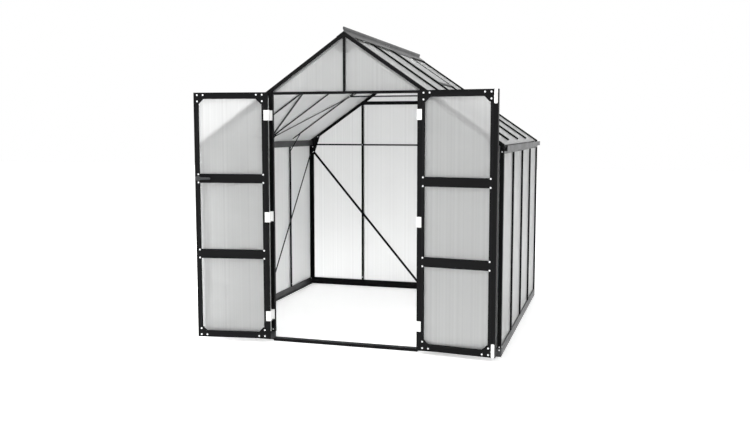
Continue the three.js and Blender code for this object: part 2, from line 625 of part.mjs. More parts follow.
// Moving half of a hinge: plate on the leaf's inner face, strap round its edge and middle knuckle
function hinge(hand, height) {
  const inside = PIN_TO_LEAF + LEAF_THICKNESS + CLEARANCE;
  const back = inside + HINGE_PLATE;
  const edge = -LEAF_EDGE - CLEARANCE;
  const low = height - HINGE_HEIGHT / 2;
  const high = height + HINGE_HEIGHT / 2;
  const plate = box(...span(hand, edge - HINGE_STRAP, HINGE_LEAF), inside, back, low, high);
  const strap = box(...span(hand, edge - HINGE_STRAP, edge), HINGE_STRAP_START, back, low, high);
  const knuckleLow = height - KNUCKLE_HEIGHT / 2;
  const knuckleHigh = height + KNUCKLE_HEIGHT / 2;
  const tabEnd = HINGE_STRAP_START + OVERLAP;
  const tab = box(...span(hand, edge - HINGE_STRAP, edge), 0, tabEnd, knuckleLow, knuckleHigh);
  const knuckle = new THREE.CylinderGeometry(KNUCKLE_RADIUS, KNUCKLE_RADIUS, KNUCKLE_HEIGHT, 16)
    .rotateX(Math.PI / 2)
    .translate(0, 0, height);
  return join(plate, strap, tab, knuckle);
}

// Lever handle on the inner face of the left leaf, beside its free edge
function leverHandle(reach) {
  const face = PIN_TO_LEAF + LEAF_THICKNESS + CLEARANCE;
  const spindle = reach - HANDLE_EDGE;
  const height = MID_RAIL_HEIGHTS[MID_RAIL_HEIGHTS.length - 1];
  const rose = new THREE.CylinderGeometry(HANDLE_ROSE_RADIUS, HANDLE_ROSE_RADIUS, HANDLE_STANDOFF, 24)
    .translate(spindle, face + HANDLE_STANDOFF / 2, height);
  const radius = HANDLE_HEIGHT / 2;
  const lever = new THREE.Shape();
  lever.absarc(spindle, height, radius, -Math.PI / 2, Math.PI / 2, false);
  lever.absarc(spindle - HANDLE_LENGTH, height, HANDLE_TIP_HEIGHT / 2, Math.PI / 2, Math.PI * 1.5, false);
  const options = { depth: HANDLE_THICKNESS, bevelEnabled: false, curveSegments: 8 };
  const blade = new THREE.ExtrudeGeometry(lever, options)
    .rotateX(Math.PI / 2)
    .translate(0, face + HANDLE_STANDOFF + HANDLE_THICKNESS - OVERLAP, 0);
  return join(rose, blade);
}

function doorLeaf(side, hand, reach, freeBand, openAngle) {
  const leaf = new THREE.Group();
  leaf.add(mesh(`${side}_door_frame`, leafFrame(hand, reach, freeBand), POWDER_COAT));
  leaf.add(mesh(`${side}_door_sheet`, leafSheet(hand, reach, freeBand), TWIN_WALL));
  HINGE_HEIGHTS.forEach((z, i) => {
    leaf.add(mesh(`${side}_door_hinge_${i + 1}`, hinge(hand, z), WHITE_PLASTIC));
  });
  if (side === 'left') leaf.add(mesh('door_handle', leverHandle(reach), GREY_COAT));
  return placed(leaf, -hand * PIN_X, PIN_Y, -hand * THREE.MathUtils.degToRad(openAngle));
}

const greenhouse = new THREE.Group();
greenhouse.add(frontWall());
greenhouse.add(placed(rearWall(), 0, DEPTH, Math.PI));
greenhouse.add(placed(sideWall('left'), -WIDTH / 2, DEPTH / 2, -Math.PI / 2));
greenhouse.add(placed(sideWall('right'), WIDTH / 2, DEPTH / 2, Math.PI / 2));
for (const side of ['left', 'right']) {
  const half = new THREE.Group();
  half.add(roofSlope(side));
  greenhouse.add(placed(half, 0, DEPTH / 2, side === 'left' ? Math.PI : 0));
}
greenhouse.add(ridgeBeam());
greenhouse.add(doorLeaf('left', 1, LEFT_REACH, LEFT_FREE_BAND, LEFT_OPEN));
greenhouse.add(doorLeaf('right', -1, RIGHT_REACH, RIGHT_FREE_BAND, RIGHT_OPEN));

export default greenhouse;
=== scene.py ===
"""Finishes and fits out a garden greenhouse: coats, twin-wall glazing, bracing, door fittings and screws."""

import json
import math

import bmesh
import bpy
from mathutils import Matrix, Vector


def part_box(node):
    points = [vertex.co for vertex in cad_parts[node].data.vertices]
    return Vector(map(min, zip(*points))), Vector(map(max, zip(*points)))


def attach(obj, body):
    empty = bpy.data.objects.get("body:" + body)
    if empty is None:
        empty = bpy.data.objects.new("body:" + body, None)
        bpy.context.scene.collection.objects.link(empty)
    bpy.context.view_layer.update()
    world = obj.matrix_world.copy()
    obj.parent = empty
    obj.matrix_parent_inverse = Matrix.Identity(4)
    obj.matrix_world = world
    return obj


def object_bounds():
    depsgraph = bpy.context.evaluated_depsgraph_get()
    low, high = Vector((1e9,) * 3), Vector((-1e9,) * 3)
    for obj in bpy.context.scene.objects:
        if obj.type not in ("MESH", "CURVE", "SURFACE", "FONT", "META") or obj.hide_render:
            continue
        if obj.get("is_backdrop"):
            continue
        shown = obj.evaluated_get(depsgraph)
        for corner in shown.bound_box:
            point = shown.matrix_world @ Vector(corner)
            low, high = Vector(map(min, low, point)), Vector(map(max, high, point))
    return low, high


bl_info = {
    "name": "Garden Greenhouse",
    "version": (1, 0, 0),
    "blender": (4, 5, 0),
    "location": "3D View > Sidebar > Greenhouse",
    "description": "Finishes and fits out the frame of a garden greenhouse",
    "category": "Object",
}

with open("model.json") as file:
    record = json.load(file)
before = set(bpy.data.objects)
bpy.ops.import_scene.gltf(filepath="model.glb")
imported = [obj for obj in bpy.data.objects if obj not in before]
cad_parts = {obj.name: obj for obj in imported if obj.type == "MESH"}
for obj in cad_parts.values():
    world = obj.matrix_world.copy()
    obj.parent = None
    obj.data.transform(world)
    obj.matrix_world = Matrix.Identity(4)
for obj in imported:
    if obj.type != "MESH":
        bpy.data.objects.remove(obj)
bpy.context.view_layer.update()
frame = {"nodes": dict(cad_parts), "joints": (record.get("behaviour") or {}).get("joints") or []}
GAP = 0.0002  # between a fitting and the piece that it is fixed to
CLEARANCE = 0.0003  # between neighbouring pieces of the frame
ACROSS = Vector((1, 0, 0))
INWARD = Vector((0, 1, 0))
UP = Vector((0, 0, 1))
SIDES = {"left": -1, "right": 1}
NUMBERS = (1, 2, 3)  # of the bars of a wall or a slope, and of the hinges of a leaf
INNER_HALF = 0.010  # half of the width of a bar's inner flange
BEAM_HEIGHT = 0.024  # of an eave beam
SHEET_TO_LEG = 0.0045  # from a wall's sheet to the inner face of the legs behind it
LEAF_RECESS = 0.002  # from a leaf's inner face back to its inner frame
HANDLE_EDGE = 0.026  # from a leaf's free edge to the handle's spindle
INNER_STILE = 0.021
END_RAIL = 0.049
MID_RAIL_HALF = 0.035
SLOT_HALF = 0.0045  # half of the slot that a bar takes up in a sheet
GABLE_DEPTH = 0.0225  # from a gable's outer face to the inner face of its legs
GUSSET_EDGE = 1.2185  # from the middle of the house to a corner gusset's outer edge
PLATE_SCREWS = ((0.017, 0.020), (0.065, 0.020), (0.017, 0.070))  # from a leaf's corner
KNUCKLE = (0.0155, 0.040)  # from a hinge's middle to both ends of a bracket's knuckle
RIDGE_FIN_HALF = 0.0025
FLOOR_HEIGHT = -0.0005


# Measuring the frame


def spread(points, direction):
    distances = [p.dot(direction) for p in points]
    return min(distances), max(distances)


def reach(node, direction):
    """Least and most distance of a CAD node along a direction."""
    return spread([v.co for v in frame["nodes"][node].data.vertices], direction)


def middle(node, direction):
    return sum(reach(node, direction)) / 2


def outer_x(node, sign):
    """Distance from the middle of the house to a node's outer side."""
    return max(sign * corner.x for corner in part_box(node))


def inner_x(node, sign):
    return min(sign * corner.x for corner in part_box(node))


def roof_pitch():
    """Angle of the roof, from the shoulders of the rear wall's sheet."""
    places = [v.co for v in frame["nodes"]["rear_wall_sheet"].data.vertices]
    edge = max(p.x for p in places)
    shoulder = max(p.z for p in places if p.x > edge - GAP)
    top = max(places, key=lambda p: p.z)
    return math.atan2(top.z - shoulder, edge - abs(top.x))


PITCH = roof_pitch()
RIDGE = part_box("rear_left_rafter")[1].z
EAVE_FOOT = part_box("left_wall_bar_2")[1].z + CLEARANCE
EAVE_PLATE = EAVE_FOOT + BEAM_HEIGHT  # top of the eave beams


def roof_line(distance, depth):
    """Height of a line at a depth under the rafters' top, at a distance from the middle."""
    return RIDGE - abs(distance) * math.tan(PITCH) - depth / math.cos(PITCH)


class Slope:
    """One roof slope: s runs down from the ridge, y along the house and w out of the slope."""

    def __init__(self, side):
        sign = SIDES[side]
        self.down = Vector((sign * math.cos(PITCH), 0, -math.sin(PITCH)))
        self.out = Vector((sign * math.sin(PITCH), 0, math.cos(PITCH)))

    def at(self, s, y, w):
        return self.down * s + self.out * w + INWARD * y


class DoorLeaf:
    """One open door leaf: u runs from its hinge pin to the free edge and v from its outer face inwards."""

    def __init__(self, side):
        joint = next(j for j in frame["joints"] if j["child"] == f"{side}_door")
        pin = Vector(joint["pos_m"])
        pin.z = 0
        turn = Matrix.Rotation(-math.radians(joint["range_deg"][1]), 4, Vector(joint["axis"]))
        self.body = joint["child"]
        self.hand = 1 if pin.x < 0 else -1
        self.pin = pin
        self.place = Matrix.Translation(pin) @ turn
        self.frame = self.extent(f"{side}_door_frame")
        self.sheet = self.extent(f"{side}_door_sheet")
        self.foot, self.top = self.frame[2]
        self.outer_face, self.inner_face = self.frame[1]
        self.free_edge = self.frame[0][1]
        # the sheet ends a clearance short of the bands round it, and is slotted at the mid rails
        self.bands = (self.sheet[0][0] - CLEARANCE, self.sheet[0][1] + CLEARANCE)
        self.levels = sorted({round(v.co.z, 4) for v in frame["nodes"][f"{side}_door_sheet"].data.vertices})
        self.mid_rails = [sum(pair) / 2 for pair in zip(self.levels[1:-1:2], self.levels[2::2])]

    def at(self, u, v, z):
        return self.place @ Vector((self.hand * u, v, z))

    def towards(self, u, v, z):
        return self.at(u, v, z) - self.at(0, 0, 0)

    def extent(self, node):
        """Least and most u, v and z of a CAD node of this leaf."""
        back = self.place.inverted()
        places = [back @ v.co for v in frame["nodes"][node].data.vertices]
        return [spread(places, way) for way in (self.hand * ACROSS, INWARD, UP)]


# Sizes and colours


def length(name, description, default):
    return bpy.props.FloatProperty(
        name=name, description=description, default=default, min=0, unit="LENGTH", precision=4
    )


def colour(name, description, default):
    return bpy.props.FloatVectorProperty(
        name=name, description=description, default=default, subtype="COLOR", size=3, min=0, max=1
    )


def power(name, description, default):
    return bpy.props.FloatProperty(name=name, description=description, default=default, min=0)


class GreenhouseFinishes(bpy.types.PropertyGroup):
    frame_colour: colour("Frame", "Powder coat of the bars and doors", (0.0035, 0.0036, 0.0039))
    trim_colour: colour("Trim", "Coat of the gutters, ridge, base rails and vent", (0.030, 0.031, 0.033))
    seal_colour: colour("Seals", "Rubber round the door panes", (0.004, 0.004, 0.0045))
    pane_colour: colour("Panes", "Body of the twin-wall sheet", (0.825, 0.83, 0.827))
    web_colour: colour("Webs", "Webs inside the twin-wall sheet", (0.8, 0.805, 0.8))
    plastic_colour: colour("Plastic", "Hinges and door bolts", (0.93, 0.93, 0.92))
    screw_colour: colour("Screws", "Plated screws and washers", (0.78, 0.79, 0.8))
    pane_roughness: bpy.props.FloatProperty(
        name="Pane haze", description="How far a pane blurs what stands behind it",
        default=0.38, min=0, max=1, subtype="FACTOR",
    )


class GreenhouseGlazing(bpy.types.PropertyGroup):
    web_pitch: length("Web pitch", "Distance between the webs of a sheet", 0.010)
    web_width: length("Web width", "Thickness of one web", 0.0009)
    skin: length("Skin", "Depth left over each side of a web", 0.0003)
    end_margin: length("End margin", "How far the webs stop short of a sheet's ends", 0.002)
    vent_margin: length("Vent margin", "How far the webs run in under the vent's frame", 0.009)
    seal_thickness: length("Seal thickness", "Thickness of the rubber round a door pane", 0.0015)


class GreenhouseBracing(bpy.types.PropertyGroup):
    strip_width: length("Strip width", "Width of a wall brace", 0.024)
    roof_strip_width: length("Roof strip width", "Width of a roof brace", 0.034)
    strut_width: length("Strut width", "Width of a strut at the eaves", 0.008)
    strut_run: length("Strut run", "How far a strut reaches in from the wall", 0.10)
    strip_thickness: length("Strip thickness", "Thickness of a brace", 0.0015)
    tie_height: length("Tie height", "Height of a tie under the ridge", 2.05)
    tie_width: length("Tie width", "Width of a tie", 0.013)
    foot_rise: length("Foot rise", "How far a wall brace ends above the base rail", 0.011)
    head_drop: length("Head drop", "How far a wall brace starts below the rear eave rail", 0.10)
    gusset: length("Gusset reach", "Reach of a gusset plate along a rafter", 0.10)
    plate: length("Plate thickness", "Thickness of gussets and joint plates", 0.002)
    angle_arm: length("Corner angle", "Reach of the angle inside a corner post", 0.038)


class GreenhouseFittings(bpy.types.PropertyGroup):
    corner_plate: length("Corner plate", "Reach of a corner plate along the leaf", 0.080)
    corner_rise: length("Corner rise", "Reach of a corner plate up the leaf", 0.092)
    plate: length("Plate thickness", "Thickness of a corner plate", 0.002)
    screw_radius: length("Screw radius", "Radius of a screw head on the doors", 0.0055)
    small_screw: length("Small screw radius", "Radius of a screw head on the house", 0.0045)
    bolt_width: length("Bolt width", "Width of a door bolt's housing", 0.026)
    bolt_length: length("Bolt length", "Length of a door bolt's housing", 0.105)
    pin_radius: length("Pin radius", "Radius of the hinge pins", 0.003)


class GreenhouseStudio(bpy.types.PropertyGroup):
    floor_size: length("Floor", "Width of the floor", 60.0)
    sky: power("Room light", "Brightness of the white room", 1.0)
    key: power("Key light", "Power of the lamp in front", 180.0)
    side: power("Side light", "Power of the lamp on the left", 560.0)
    back: power("Back light", "Power of the lamp behind", 4.0)
    distance: length("Lamp distance", "How far off the lamps stand", 6.0)
    lens: bpy.props.FloatProperty(name="Lens", description="Focal length in millimetres", default=39.97, min=10)


SETTINGS = {
    "greenhouse_finishes": GreenhouseFinishes,
    "greenhouse_glazing": GreenhouseGlazing,
    "greenhouse_bracing": GreenhouseBracing,
    "greenhouse_fittings": GreenhouseFittings,
    "greenhouse_studio": GreenhouseStudio,
}


# Building meshes


class Shape:
    """Closed solids gathered into one mesh. Points go through a placing function."""

    def __init__(self, place=None):
        self.place = place or (lambda x, y, z: Vector((x, y, z)))
        self.vertices = []
        self.faces = []

    def add(self, points, faces):
        start = len(self.vertices)
        self.vertices += [self.place(*p) for p in points]
        self.faces += [[start + i for i in face] for face in faces]

    def block(self, x, y, z):
        """Box between pairs of x, y and z."""
        self.prism([(x[0], y[0]), (x[1], y[0]), (x[1], y[1]), (x[0], y[1])], z, "z")

    def prism(self, outline, span, axis):
        """Flat outline, given in the two other axes in order, drawn out along one axis."""
        order = {"x": lambda a, b, c: (c, a, b), "y": lambda a, b, c: (a, c, b), "z": lambda a, b, c: (a, b, c)}
        count = len(outline)
        points = [order[axis](a, b, end) for end in span for a, b in outline]
        ring = range(count)
        faces = [list(ring), [i + count for i in ring]]
        faces += [[i, (i + 1) % count, (i + 1) % count + count, i + count] for i in ring]
        self.add(points, faces)

    def turned(self, profile, centre, axis, steps=24):
        """Profile of (radius, distance) turned about an axis; it starts and ends at radius 0."""
        axis = Vector(axis).normalized()
        side = axis.orthogonal().normalized()
        other = axis.cross(side)
        centre = Vector(centre)
        points = [centre + axis * profile[0][1]]
        for radius, distance in profile[1:-1]:
            for i in range(steps):
                angle = 2 * math.pi * i / steps
                spoke = (side * math.cos(angle) + other * math.sin(angle)) * radius
                points.append(centre + axis * distance + spoke)
        points.append(centre + axis * profile[-1][1])
        last = len(points) - 1
        faces = []
        for i in range(steps):
            j = (i + 1) % steps
            faces.append([0, 1 + i, 1 + j])
            faces.append([last, last - steps + i, last - steps + j])
            for ring in range(len(profile) - 3):
                low = 1 + ring * steps
                faces.append([low + i, low + j, low + steps + j, low + steps + i])
        self.add([tuple(p) for p in points], faces)

    def rod(self, start, end, radius, steps=16):
        start = Vector(start)
        run = Vector(end) - start
        self.turned([(0, 0), (radius, 0), (radius, run.length), (0, run.length)], start, run, steps)


def arc(centre, radius, first, sweep, steps):
    """Points of an arc about a centre, from its first angle in degrees."""
    angles = [math.radians(first + sweep * i / steps) for i in range(steps + 1)]
    return [(centre[0] + radius * math.cos(angle), centre[1] + radius * math.sin(angle)) for angle in angles]


def soften(piece, width, segments=2):
    """Rounds a piece's edges with a bevel that stays live."""
    bevel = piece.modifiers.new("rounded edges", "BEVEL")
    bevel.width = width
    bevel.segments = segments
    bevel.limit_method = "ANGLE"
    bevel.angle_limit = math.radians(40)
    bevel.harden_normals = True


def make_piece(name, mesh, coat_of, body, bevel=0.0):
    """Object at the origin from a finished mesh, riding on a body."""
    mesh.name = name
    if coat_of:
        mesh.materials.clear()
        mesh.materials.append(finish(coat_of))
    piece = bpy.data.objects.new(name, mesh)
    bpy.context.scene.collection.objects.link(piece)
    if bevel:
        soften(piece, bevel)
    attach(piece, body)
    return piece


def smooth(mesh, degrees):
    mesh.shade_smooth()
    mesh.set_sharp_from_angle(angle=math.radians(degrees))
    return mesh


def mesh_of(shape):
    """Mesh of a shape with its faces outwards and its round parts smooth."""
    mesh = bpy.data.meshes.new("shape")
    mesh.from_pydata(shape.vertices, [], shape.faces)
    work = bmesh.new()
    work.from_mesh(mesh)
    bmesh.ops.recalc_face_normals(work, faces=work.faces)
    work.to_mesh(mesh)
    work.free()
    return smooth(mesh, 40)


# Node trees


def add_node(tree, kind, values=None, **settings):
    """Node with its settings. A value that is another node's socket is linked, and any other is set."""
    made = tree.nodes.new(kind)
    for key, value in settings.items():
        setattr(made, key, value)
    for key, value in (values or {}).items():
        if isinstance(value, bpy.types.NodeSocket):
            tree.links.new(value, made.inputs[key])
        else:
            made.inputs[key].default_value = value
    return made


def node_group(name, kind, inputs, outputs, build):
    """Node group with named sockets, built once. The build function gives each output's socket."""
    tree = bpy.data.node_groups.get(name)
    if tree:
        return tree
    tree = bpy.data.node_groups.new(name, kind)
    for way, rows in (("INPUT", inputs), ("OUTPUT", outputs)):
        for label, socket, default in rows:
            made = tree.interface.new_socket(label, in_out=way, socket_type=f"NodeSocket{socket}")
            if default is not None:
                made.default_value = default
    start = add_node(tree, "NodeGroupInput").outputs
    add_node(tree, "NodeGroupOutput", build(tree, start))
    return tree


def maths(tree, operation, *values):
    return add_node(tree, "ShaderNodeMath", dict(enumerate(values)), operation=operation).outputs["Value"]


def combined(tree, **parts):
    return add_node(tree, "ShaderNodeCombineXYZ", parts).outputs["Vector"]


def attribute(tree, name, kind):
    made = add_node(tree, "GeometryNodeInputNamedAttribute", {"Name": name}, data_type=kind)
    return made.outputs["Attribute"]


def set_on_points(tree, start, shape, **scale):
    """Sets a shape on each point with the point's turn, as plain mesh in its finish."""
    turn = add_node(tree, "FunctionNodeEulerToRotation", {"Euler": attribute(tree, "turn", "FLOAT_VECTOR")})
    values = {"Points": start["Geometry"], "Instance": shape, "Rotation": turn.outputs["Rotation"], **scale}
    grow = add_node(tree, "GeometryNodeInstanceOnPoints", values)
    real = add_node(tree, "GeometryNodeRealizeInstances", {"Geometry": grow.outputs["Instances"]})
    coated = {"Geometry": real.outputs["Geometry"], "Material": start["Finish"]}
    return {"Geometry": add_node(tree, "GeometryNodeSetMaterial", coated).outputs["Geometry"]}


def build_strips(tree, start):
    size = combined(tree, X=start["Strip Width"], Y=start["Strip Thickness"], Z=attribute(tree, "run", "FLOAT"))
    bar = add_node(tree, "GeometryNodeMeshCube").outputs["Mesh"]
    return set_on_points(tree, start, bar, Scale=size)


def strip_tree():
    """Grows a straight strip on each point, from its turn and length."""
    inputs = [("Geometry", "Geometry", None), ("Strip Width", "Float", 0.01), ("Strip Thickness", "Float", 0.002),
              ("Finish", "Material", None)]
    outputs = [("Geometry", "Geometry", None)]
    return node_group("Straight Strips", "GeometryNodeTree", inputs, outputs, build_strips)


def build_screws(tree, start):
    radius = start["Head Radius"]
    height = start["Head Height"]
    washer_height = start["Washer Thickness"]
    head = add_node(tree, "GeometryNodeMeshCylinder",
                    {"Vertices": 10, "Side Segments": 1, "Fill Segments": 2, "Radius": radius, "Depth": height})
    place = add_node(tree, "GeometryNodeInputPosition").outputs["Position"]
    parts = add_node(tree, "ShaderNodeSeparateXYZ", {"Vector": place}).outputs
    flat = combined(tree, X=parts["X"], Y=parts["Y"])
    from_axis = add_node(tree, "ShaderNodeVectorMath", {0: flat}, operation="LENGTH").outputs["Value"]
    share = maths(tree, "DIVIDE", from_axis, radius)
    is_top = maths(tree, "GREATER_THAN", parts["Z"], 0.0)
    dome_fall = maths(tree, "MULTIPLY", maths(tree, "POWER", share, 3.0), 0.62)
    dimple = maths(tree, "MULTIPLY", maths(tree, "LESS_THAN", share, 0.2), 0.45)
    drop = maths(tree, "MULTIPLY", maths(tree, "ADD", dome_fall, dimple), height)
    lowered = combined(tree, Z=maths(tree, "MULTIPLY", maths(tree, "MULTIPLY", drop, is_top), -1.0))
    dome = add_node(tree, "GeometryNodeSetPosition", {"Geometry": head.outputs["Mesh"], "Offset": lowered})
    lift = combined(tree, Z=maths(tree, "ADD", washer_height, maths(tree, "MULTIPLY", height, 0.5)))
    raised = add_node(tree, "GeometryNodeTransform",
                      {"Geometry": dome.outputs["Geometry"], "Translation": lift})
    washer = add_node(tree, "GeometryNodeMeshCylinder",
                      {"Vertices": 14, "Radius": maths(tree, "MULTIPLY", radius, 1.3),
                       "Depth": maths(tree, "MULTIPLY", washer_height, 2.0)})
    both = add_node(tree, "GeometryNodeJoinGeometry")
    tree.links.new(raised.outputs["Geometry"], both.inputs["Geometry"])
    tree.links.new(washer.outputs["Mesh"], both.inputs["Geometry"])
    return set_on_points(tree, start, both.outputs["Geometry"])


def screw_tree():
    """Sets a domed screw head with a dimple on a washer at each point, facing its way."""
    inputs = [("Geometry", "Geometry", None), ("Head Radius", "Float", 0.005), ("Head Height", "Float", 0.0026),
              ("Washer Thickness", "Float", 0.0008), ("Finish", "Material", None)]
    outputs = [("Geometry", "Geometry", None)]
    return node_group("Screw Heads", "GeometryNodeTree", inputs, outputs, build_screws)


def axes_turn(run, facing):
    """Turn whose Z axis is the run and whose Y axis faces a way."""
    z = run.normalized()
    y = (facing - z * facing.dot(z)).normalized()
    return Matrix((y.cross(z), y, z)).transposed().to_euler()


def strip(start, end, facing):
    """A straight strip between two points, with its flat side facing a way."""
    run = end - start
    return (start + end) / 2, axes_turn(run, facing), run.length


def screw(place, facing):
    return place, axes_turn(facing, facing.orthogonal()), 0.0


def grown(name, tree, rows, values):
    """Plain mesh that a geometry tree grows on the rows' points."""
    seed = bpy.data.meshes.new(f"{name}_points")
    seed.from_pydata([row[0] for row in rows], [], [])
    turns = seed.attributes.new("turn", "FLOAT_VECTOR", "POINT")
    turns.data.foreach_set("vector", [part for row in rows for part in row[1]])
    runs = seed.attributes.new("run", "FLOAT", "POINT")
    runs.data.foreach_set("value", [row[2] for row in rows])
    holder = bpy.data.objects.new(f"{name}_points", seed)
    modifier = holder.modifiers.new("grow", "NODES")
    modifier.node_group = tree
    for item in tree.interface.items_tree:
        if item.in_out == "INPUT" and item.name in values:
            modifier[item.identifier] = values[item.name]
    bpy.context.scene.collection.objects.link(holder)
    depsgraph = bpy.context.evaluated_depsgraph_get()
    mesh = bpy.data.meshes.new_from_object(holder.evaluated_get(depsgraph), depsgraph=depsgraph)
    bpy.data.objects.remove(holder)
    bpy.data.meshes.remove(seed)
    if not len(mesh.polygons):
        raise RuntimeError(f"{name} grew nothing")
    for extra in ("turn", "run"):
        if extra in mesh.attributes:
            mesh.attributes.remove(mesh.attributes[extra])
    return mesh


def strips(name, rows, width, thickness, coat_of, body="house"):
    values = {"Strip Width": width, "Strip Thickness": thickness, "Finish": finish(coat_of)}
    return make_piece(name, grown(name, strip_tree(), rows, values), None, body)


def screws(name, rows, radius, body="house"):
    values = {"Head Radius": radius, "Head Height": radius * 0.5, "Washer Thickness": 0.0008,
              "Finish": finish("screw")}
    return make_piece(name, smooth(grown(name, screw_tree(), rows, values), 50), None, body)


# Finishes


def object_place(tree):
    return add_node(tree, "ShaderNodeTexCoord").outputs["Object"]


def mixed(tree, factor, first, second):
    values = {"Factor": factor, 6: first, 7: second}
    return add_node(tree, "ShaderNodeMix", values, data_type="RGBA").outputs[2]


def build_mottle(tree, start):
    place = object_place(tree)
    patch = add_node(tree, "ShaderNodeTexNoise",
                     {"Vector": place, "Scale": start["Patch Scale"], "Detail": 3.0, "Roughness": 0.6})
    grain = add_node(tree, "ShaderNodeTexNoise",
                     {"Vector": place, "Scale": start["Grain Scale"], "Detail": 2.0, "Roughness": 0.55})
    fac = patch.outputs["Fac"]
    sheen = add_node(tree, "ShaderNodeMapRange", {"Value": fac, "From Min": 0.3, "From Max": 0.7,
                                                  "To Min": start["Low"], "To Max": start["High"]})
    return {"Colour": mixed(tree, fac, start["Dark"], start["Light"]), "Roughness": sheen.outputs["Result"],
            "Height": grain.outputs["Fac"]}


def mottle_group():
    """Colour that varies a little between two tones, with a fine height for the bump."""
    inputs = [("Dark", "Color", (0, 0, 0, 1)), ("Light", "Color", (1, 1, 1, 1)), ("Patch Scale", "Float", 4.0),
              ("Grain Scale", "Float", 900.0), ("Low", "Float", 0.3), ("High", "Float", 0.5)]
    outputs = [("Colour", "Color", None), ("Roughness", "Float", None), ("Height", "Float", None)]
    return node_group("Mottle", "ShaderNodeTree", inputs, outputs, build_mottle)


def build_dust(tree, start):
    patch = add_node(tree, "ShaderNodeTexNoise",
                     {"Vector": object_place(tree), "Scale": start["Patch Scale"], "Detail": 4.0})
    facing = add_node(tree, "ShaderNodeNewGeometry").outputs["Normal"]
    height = add_node(tree, "ShaderNodeSeparateXYZ", {"Vector": facing}).outputs["Z"]
    upward = add_node(tree, "ShaderNodeMapRange", {"Value": height, "From Min": 0.3, "From Max": 1.0})
    lying = maths(tree, "MULTIPLY", upward.outputs["Result"], patch.outputs["Fac"])
    mask = maths(tree, "MULTIPLY", lying, start["Amount"])
    return {"Colour": mixed(tree, mask, start["Colour"], start["Dust"])}


def dust_group():
    """Pale dust that lies on faces which look up, more in some patches than in others."""
    inputs = [("Colour", "Color", (0, 0, 0, 1)), ("Dust", "Color", (0.5, 0.48, 0.45, 1)), ("Amount", "Float", 0.06),
              ("Patch Scale", "Float", 14.0)]
    return node_group("Settled Dust", "ShaderNodeTree", inputs, [("Colour", "Color", None)], build_dust)


# Painted light and shade: stripes along the webs darken and lighten the sheet's colour.
def build_painted_rib_shade(tree, start):
    parts = add_node(tree, "ShaderNodeSeparateXYZ", {"Vector": object_place(tree)}).outputs
    along = maths(tree, "MULTIPLY_ADD", parts["X"], start["Across"], parts["Y"])
    noise = {"W": along, "Scale": start["Ribs per Metre"], "Detail": 1.0, "Roughness": 0.5}
    rib_shade = add_node(tree, "ShaderNodeTexNoise", noise, noise_dimensions="1D")
    centred = maths(tree, "SUBTRACT", rib_shade.outputs["Fac"], 0.5)
    shade = maths(tree, "MULTIPLY_ADD", centred, start["Depth"], 1.0)
    values = {0: start["Colour"], "Scale": shade}
    return {"Colour": add_node(tree, "ShaderNodeVectorMath", values, operation="SCALE").outputs["Vector"]}


def painted_rib_shade_group():
    """Darkens and lightens a sheet's colour in faint stripes along its webs: painted light and shade from the ribs.
    """
    inputs = [("Colour", "Color", (1, 1, 1, 1)), ("Across", "Float", 1.0), ("Ribs per Metre", "Float", 52.0),
              ("Depth", "Float", 0.22)]
    return node_group("Painted Rib Shade", "ShaderNodeTree", inputs, [("Colour", "Color", None)], build_painted_rib_shade)


def tinted(tone, factor):
    return (*(min(1.0, part * factor) for part in tone), 1.0)


def coat(name, tone, mottling, roughness, grain_scale=900.0, bump=0.0, dust=0.0, rib_shade=None, **fixed):
    """Material with mottled colour and roughness, and with grain, dust or painted rib shade where wanted."""
    made = bpy.data.materials.new(name)
    made.use_nodes = True
    tree = made.node_tree
    shader = tree.nodes["Principled BSDF"]
    for key, value in fixed.items():
        shader.inputs[key.replace("_", " ")].default_value = value
    values = {"Dark": tinted(tone, 1 - mottling), "Light": tinted(tone, 1 + mottling), "Patch Scale": 5.0,
              "Grain Scale": grain_scale, "Low": roughness[0], "High": roughness[1]}
    mottle = add_node(tree, "ShaderNodeGroup", values, node_tree=mottle_group())
    tone_of = mottle.outputs["Colour"]
    for group, key, value in ((dust_group, "Amount", dust or None), (painted_rib_shade_group, "Across", rib_shade)):
        if value is not None:
            step = add_node(tree, "ShaderNodeGroup", {"Colour": tone_of, key: value}, node_tree=group())
            tone_of = step.outputs["Colour"]
    tree.links.new(tone_of, shader.inputs["Base Color"])
    tree.links.new(mottle.outputs["Roughness"], shader.inputs["Roughness"])
    if bump:
        relief = add_node(tree, "ShaderNodeBump",
                          {"Strength": 1.0, "Distance": bump, "Height": mottle.outputs["Height"]})
        tree.links.new(relief.outputs["Normal"], shader.inputs["Normal"])
    return made


def finish(kind):
    """The greenhouse's own finishes, each built once."""
    made = bpy.data.materials.get(kind)
    if made:
        return made
    tones = bpy.context.scene.greenhouse_finishes
    haze = (tones.pane_roughness - 0.03, tones.pane_roughness + 0.03)
    glassy = {"Transmission_Weight": 0.80, "IOR": 1.42}
    makers = {
        "frame coat": lambda: coat(kind, tones.frame_colour, 0.2, (0.38, 0.5), 1400.0, 0.00003, 0.012,
                                   Specular_IOR_Level=0.1),
        "trim coat": lambda: coat(kind, tones.trim_colour, 0.2, (0.34, 0.46), 1400.0, 0.00003, 0.04,
                                  Specular_IOR_Level=0.5),
        "seal": lambda: coat(kind, tones.seal_colour, 0.3, (0.6, 0.8), 700.0, 0.00006, Specular_IOR_Level=0.15),
        # Both pane finishes carry painted light and shade in stripes along their ribs.
        "pane": lambda: coat(kind, tones.pane_colour, 0.012, haze, rib_shade=1.0, **glassy),
        "roof pane": lambda: coat(kind, tones.pane_colour, 0.012, haze, rib_shade=0.0, **glassy),
        "web": lambda: coat(kind, tones.web_colour, 0.02, (0.4, 0.5), Transmission_Weight=0.3),
        "plastic": lambda: coat(kind, tones.plastic_colour, 0.01, (0.35, 0.45), 900.0, 0.00004),
        "screw": lambda: coat(kind, tones.screw_colour, 0.05, (0.22, 0.34), 1200.0, 0.00001, Metallic=0.9),
    }
    return makers[kind]()


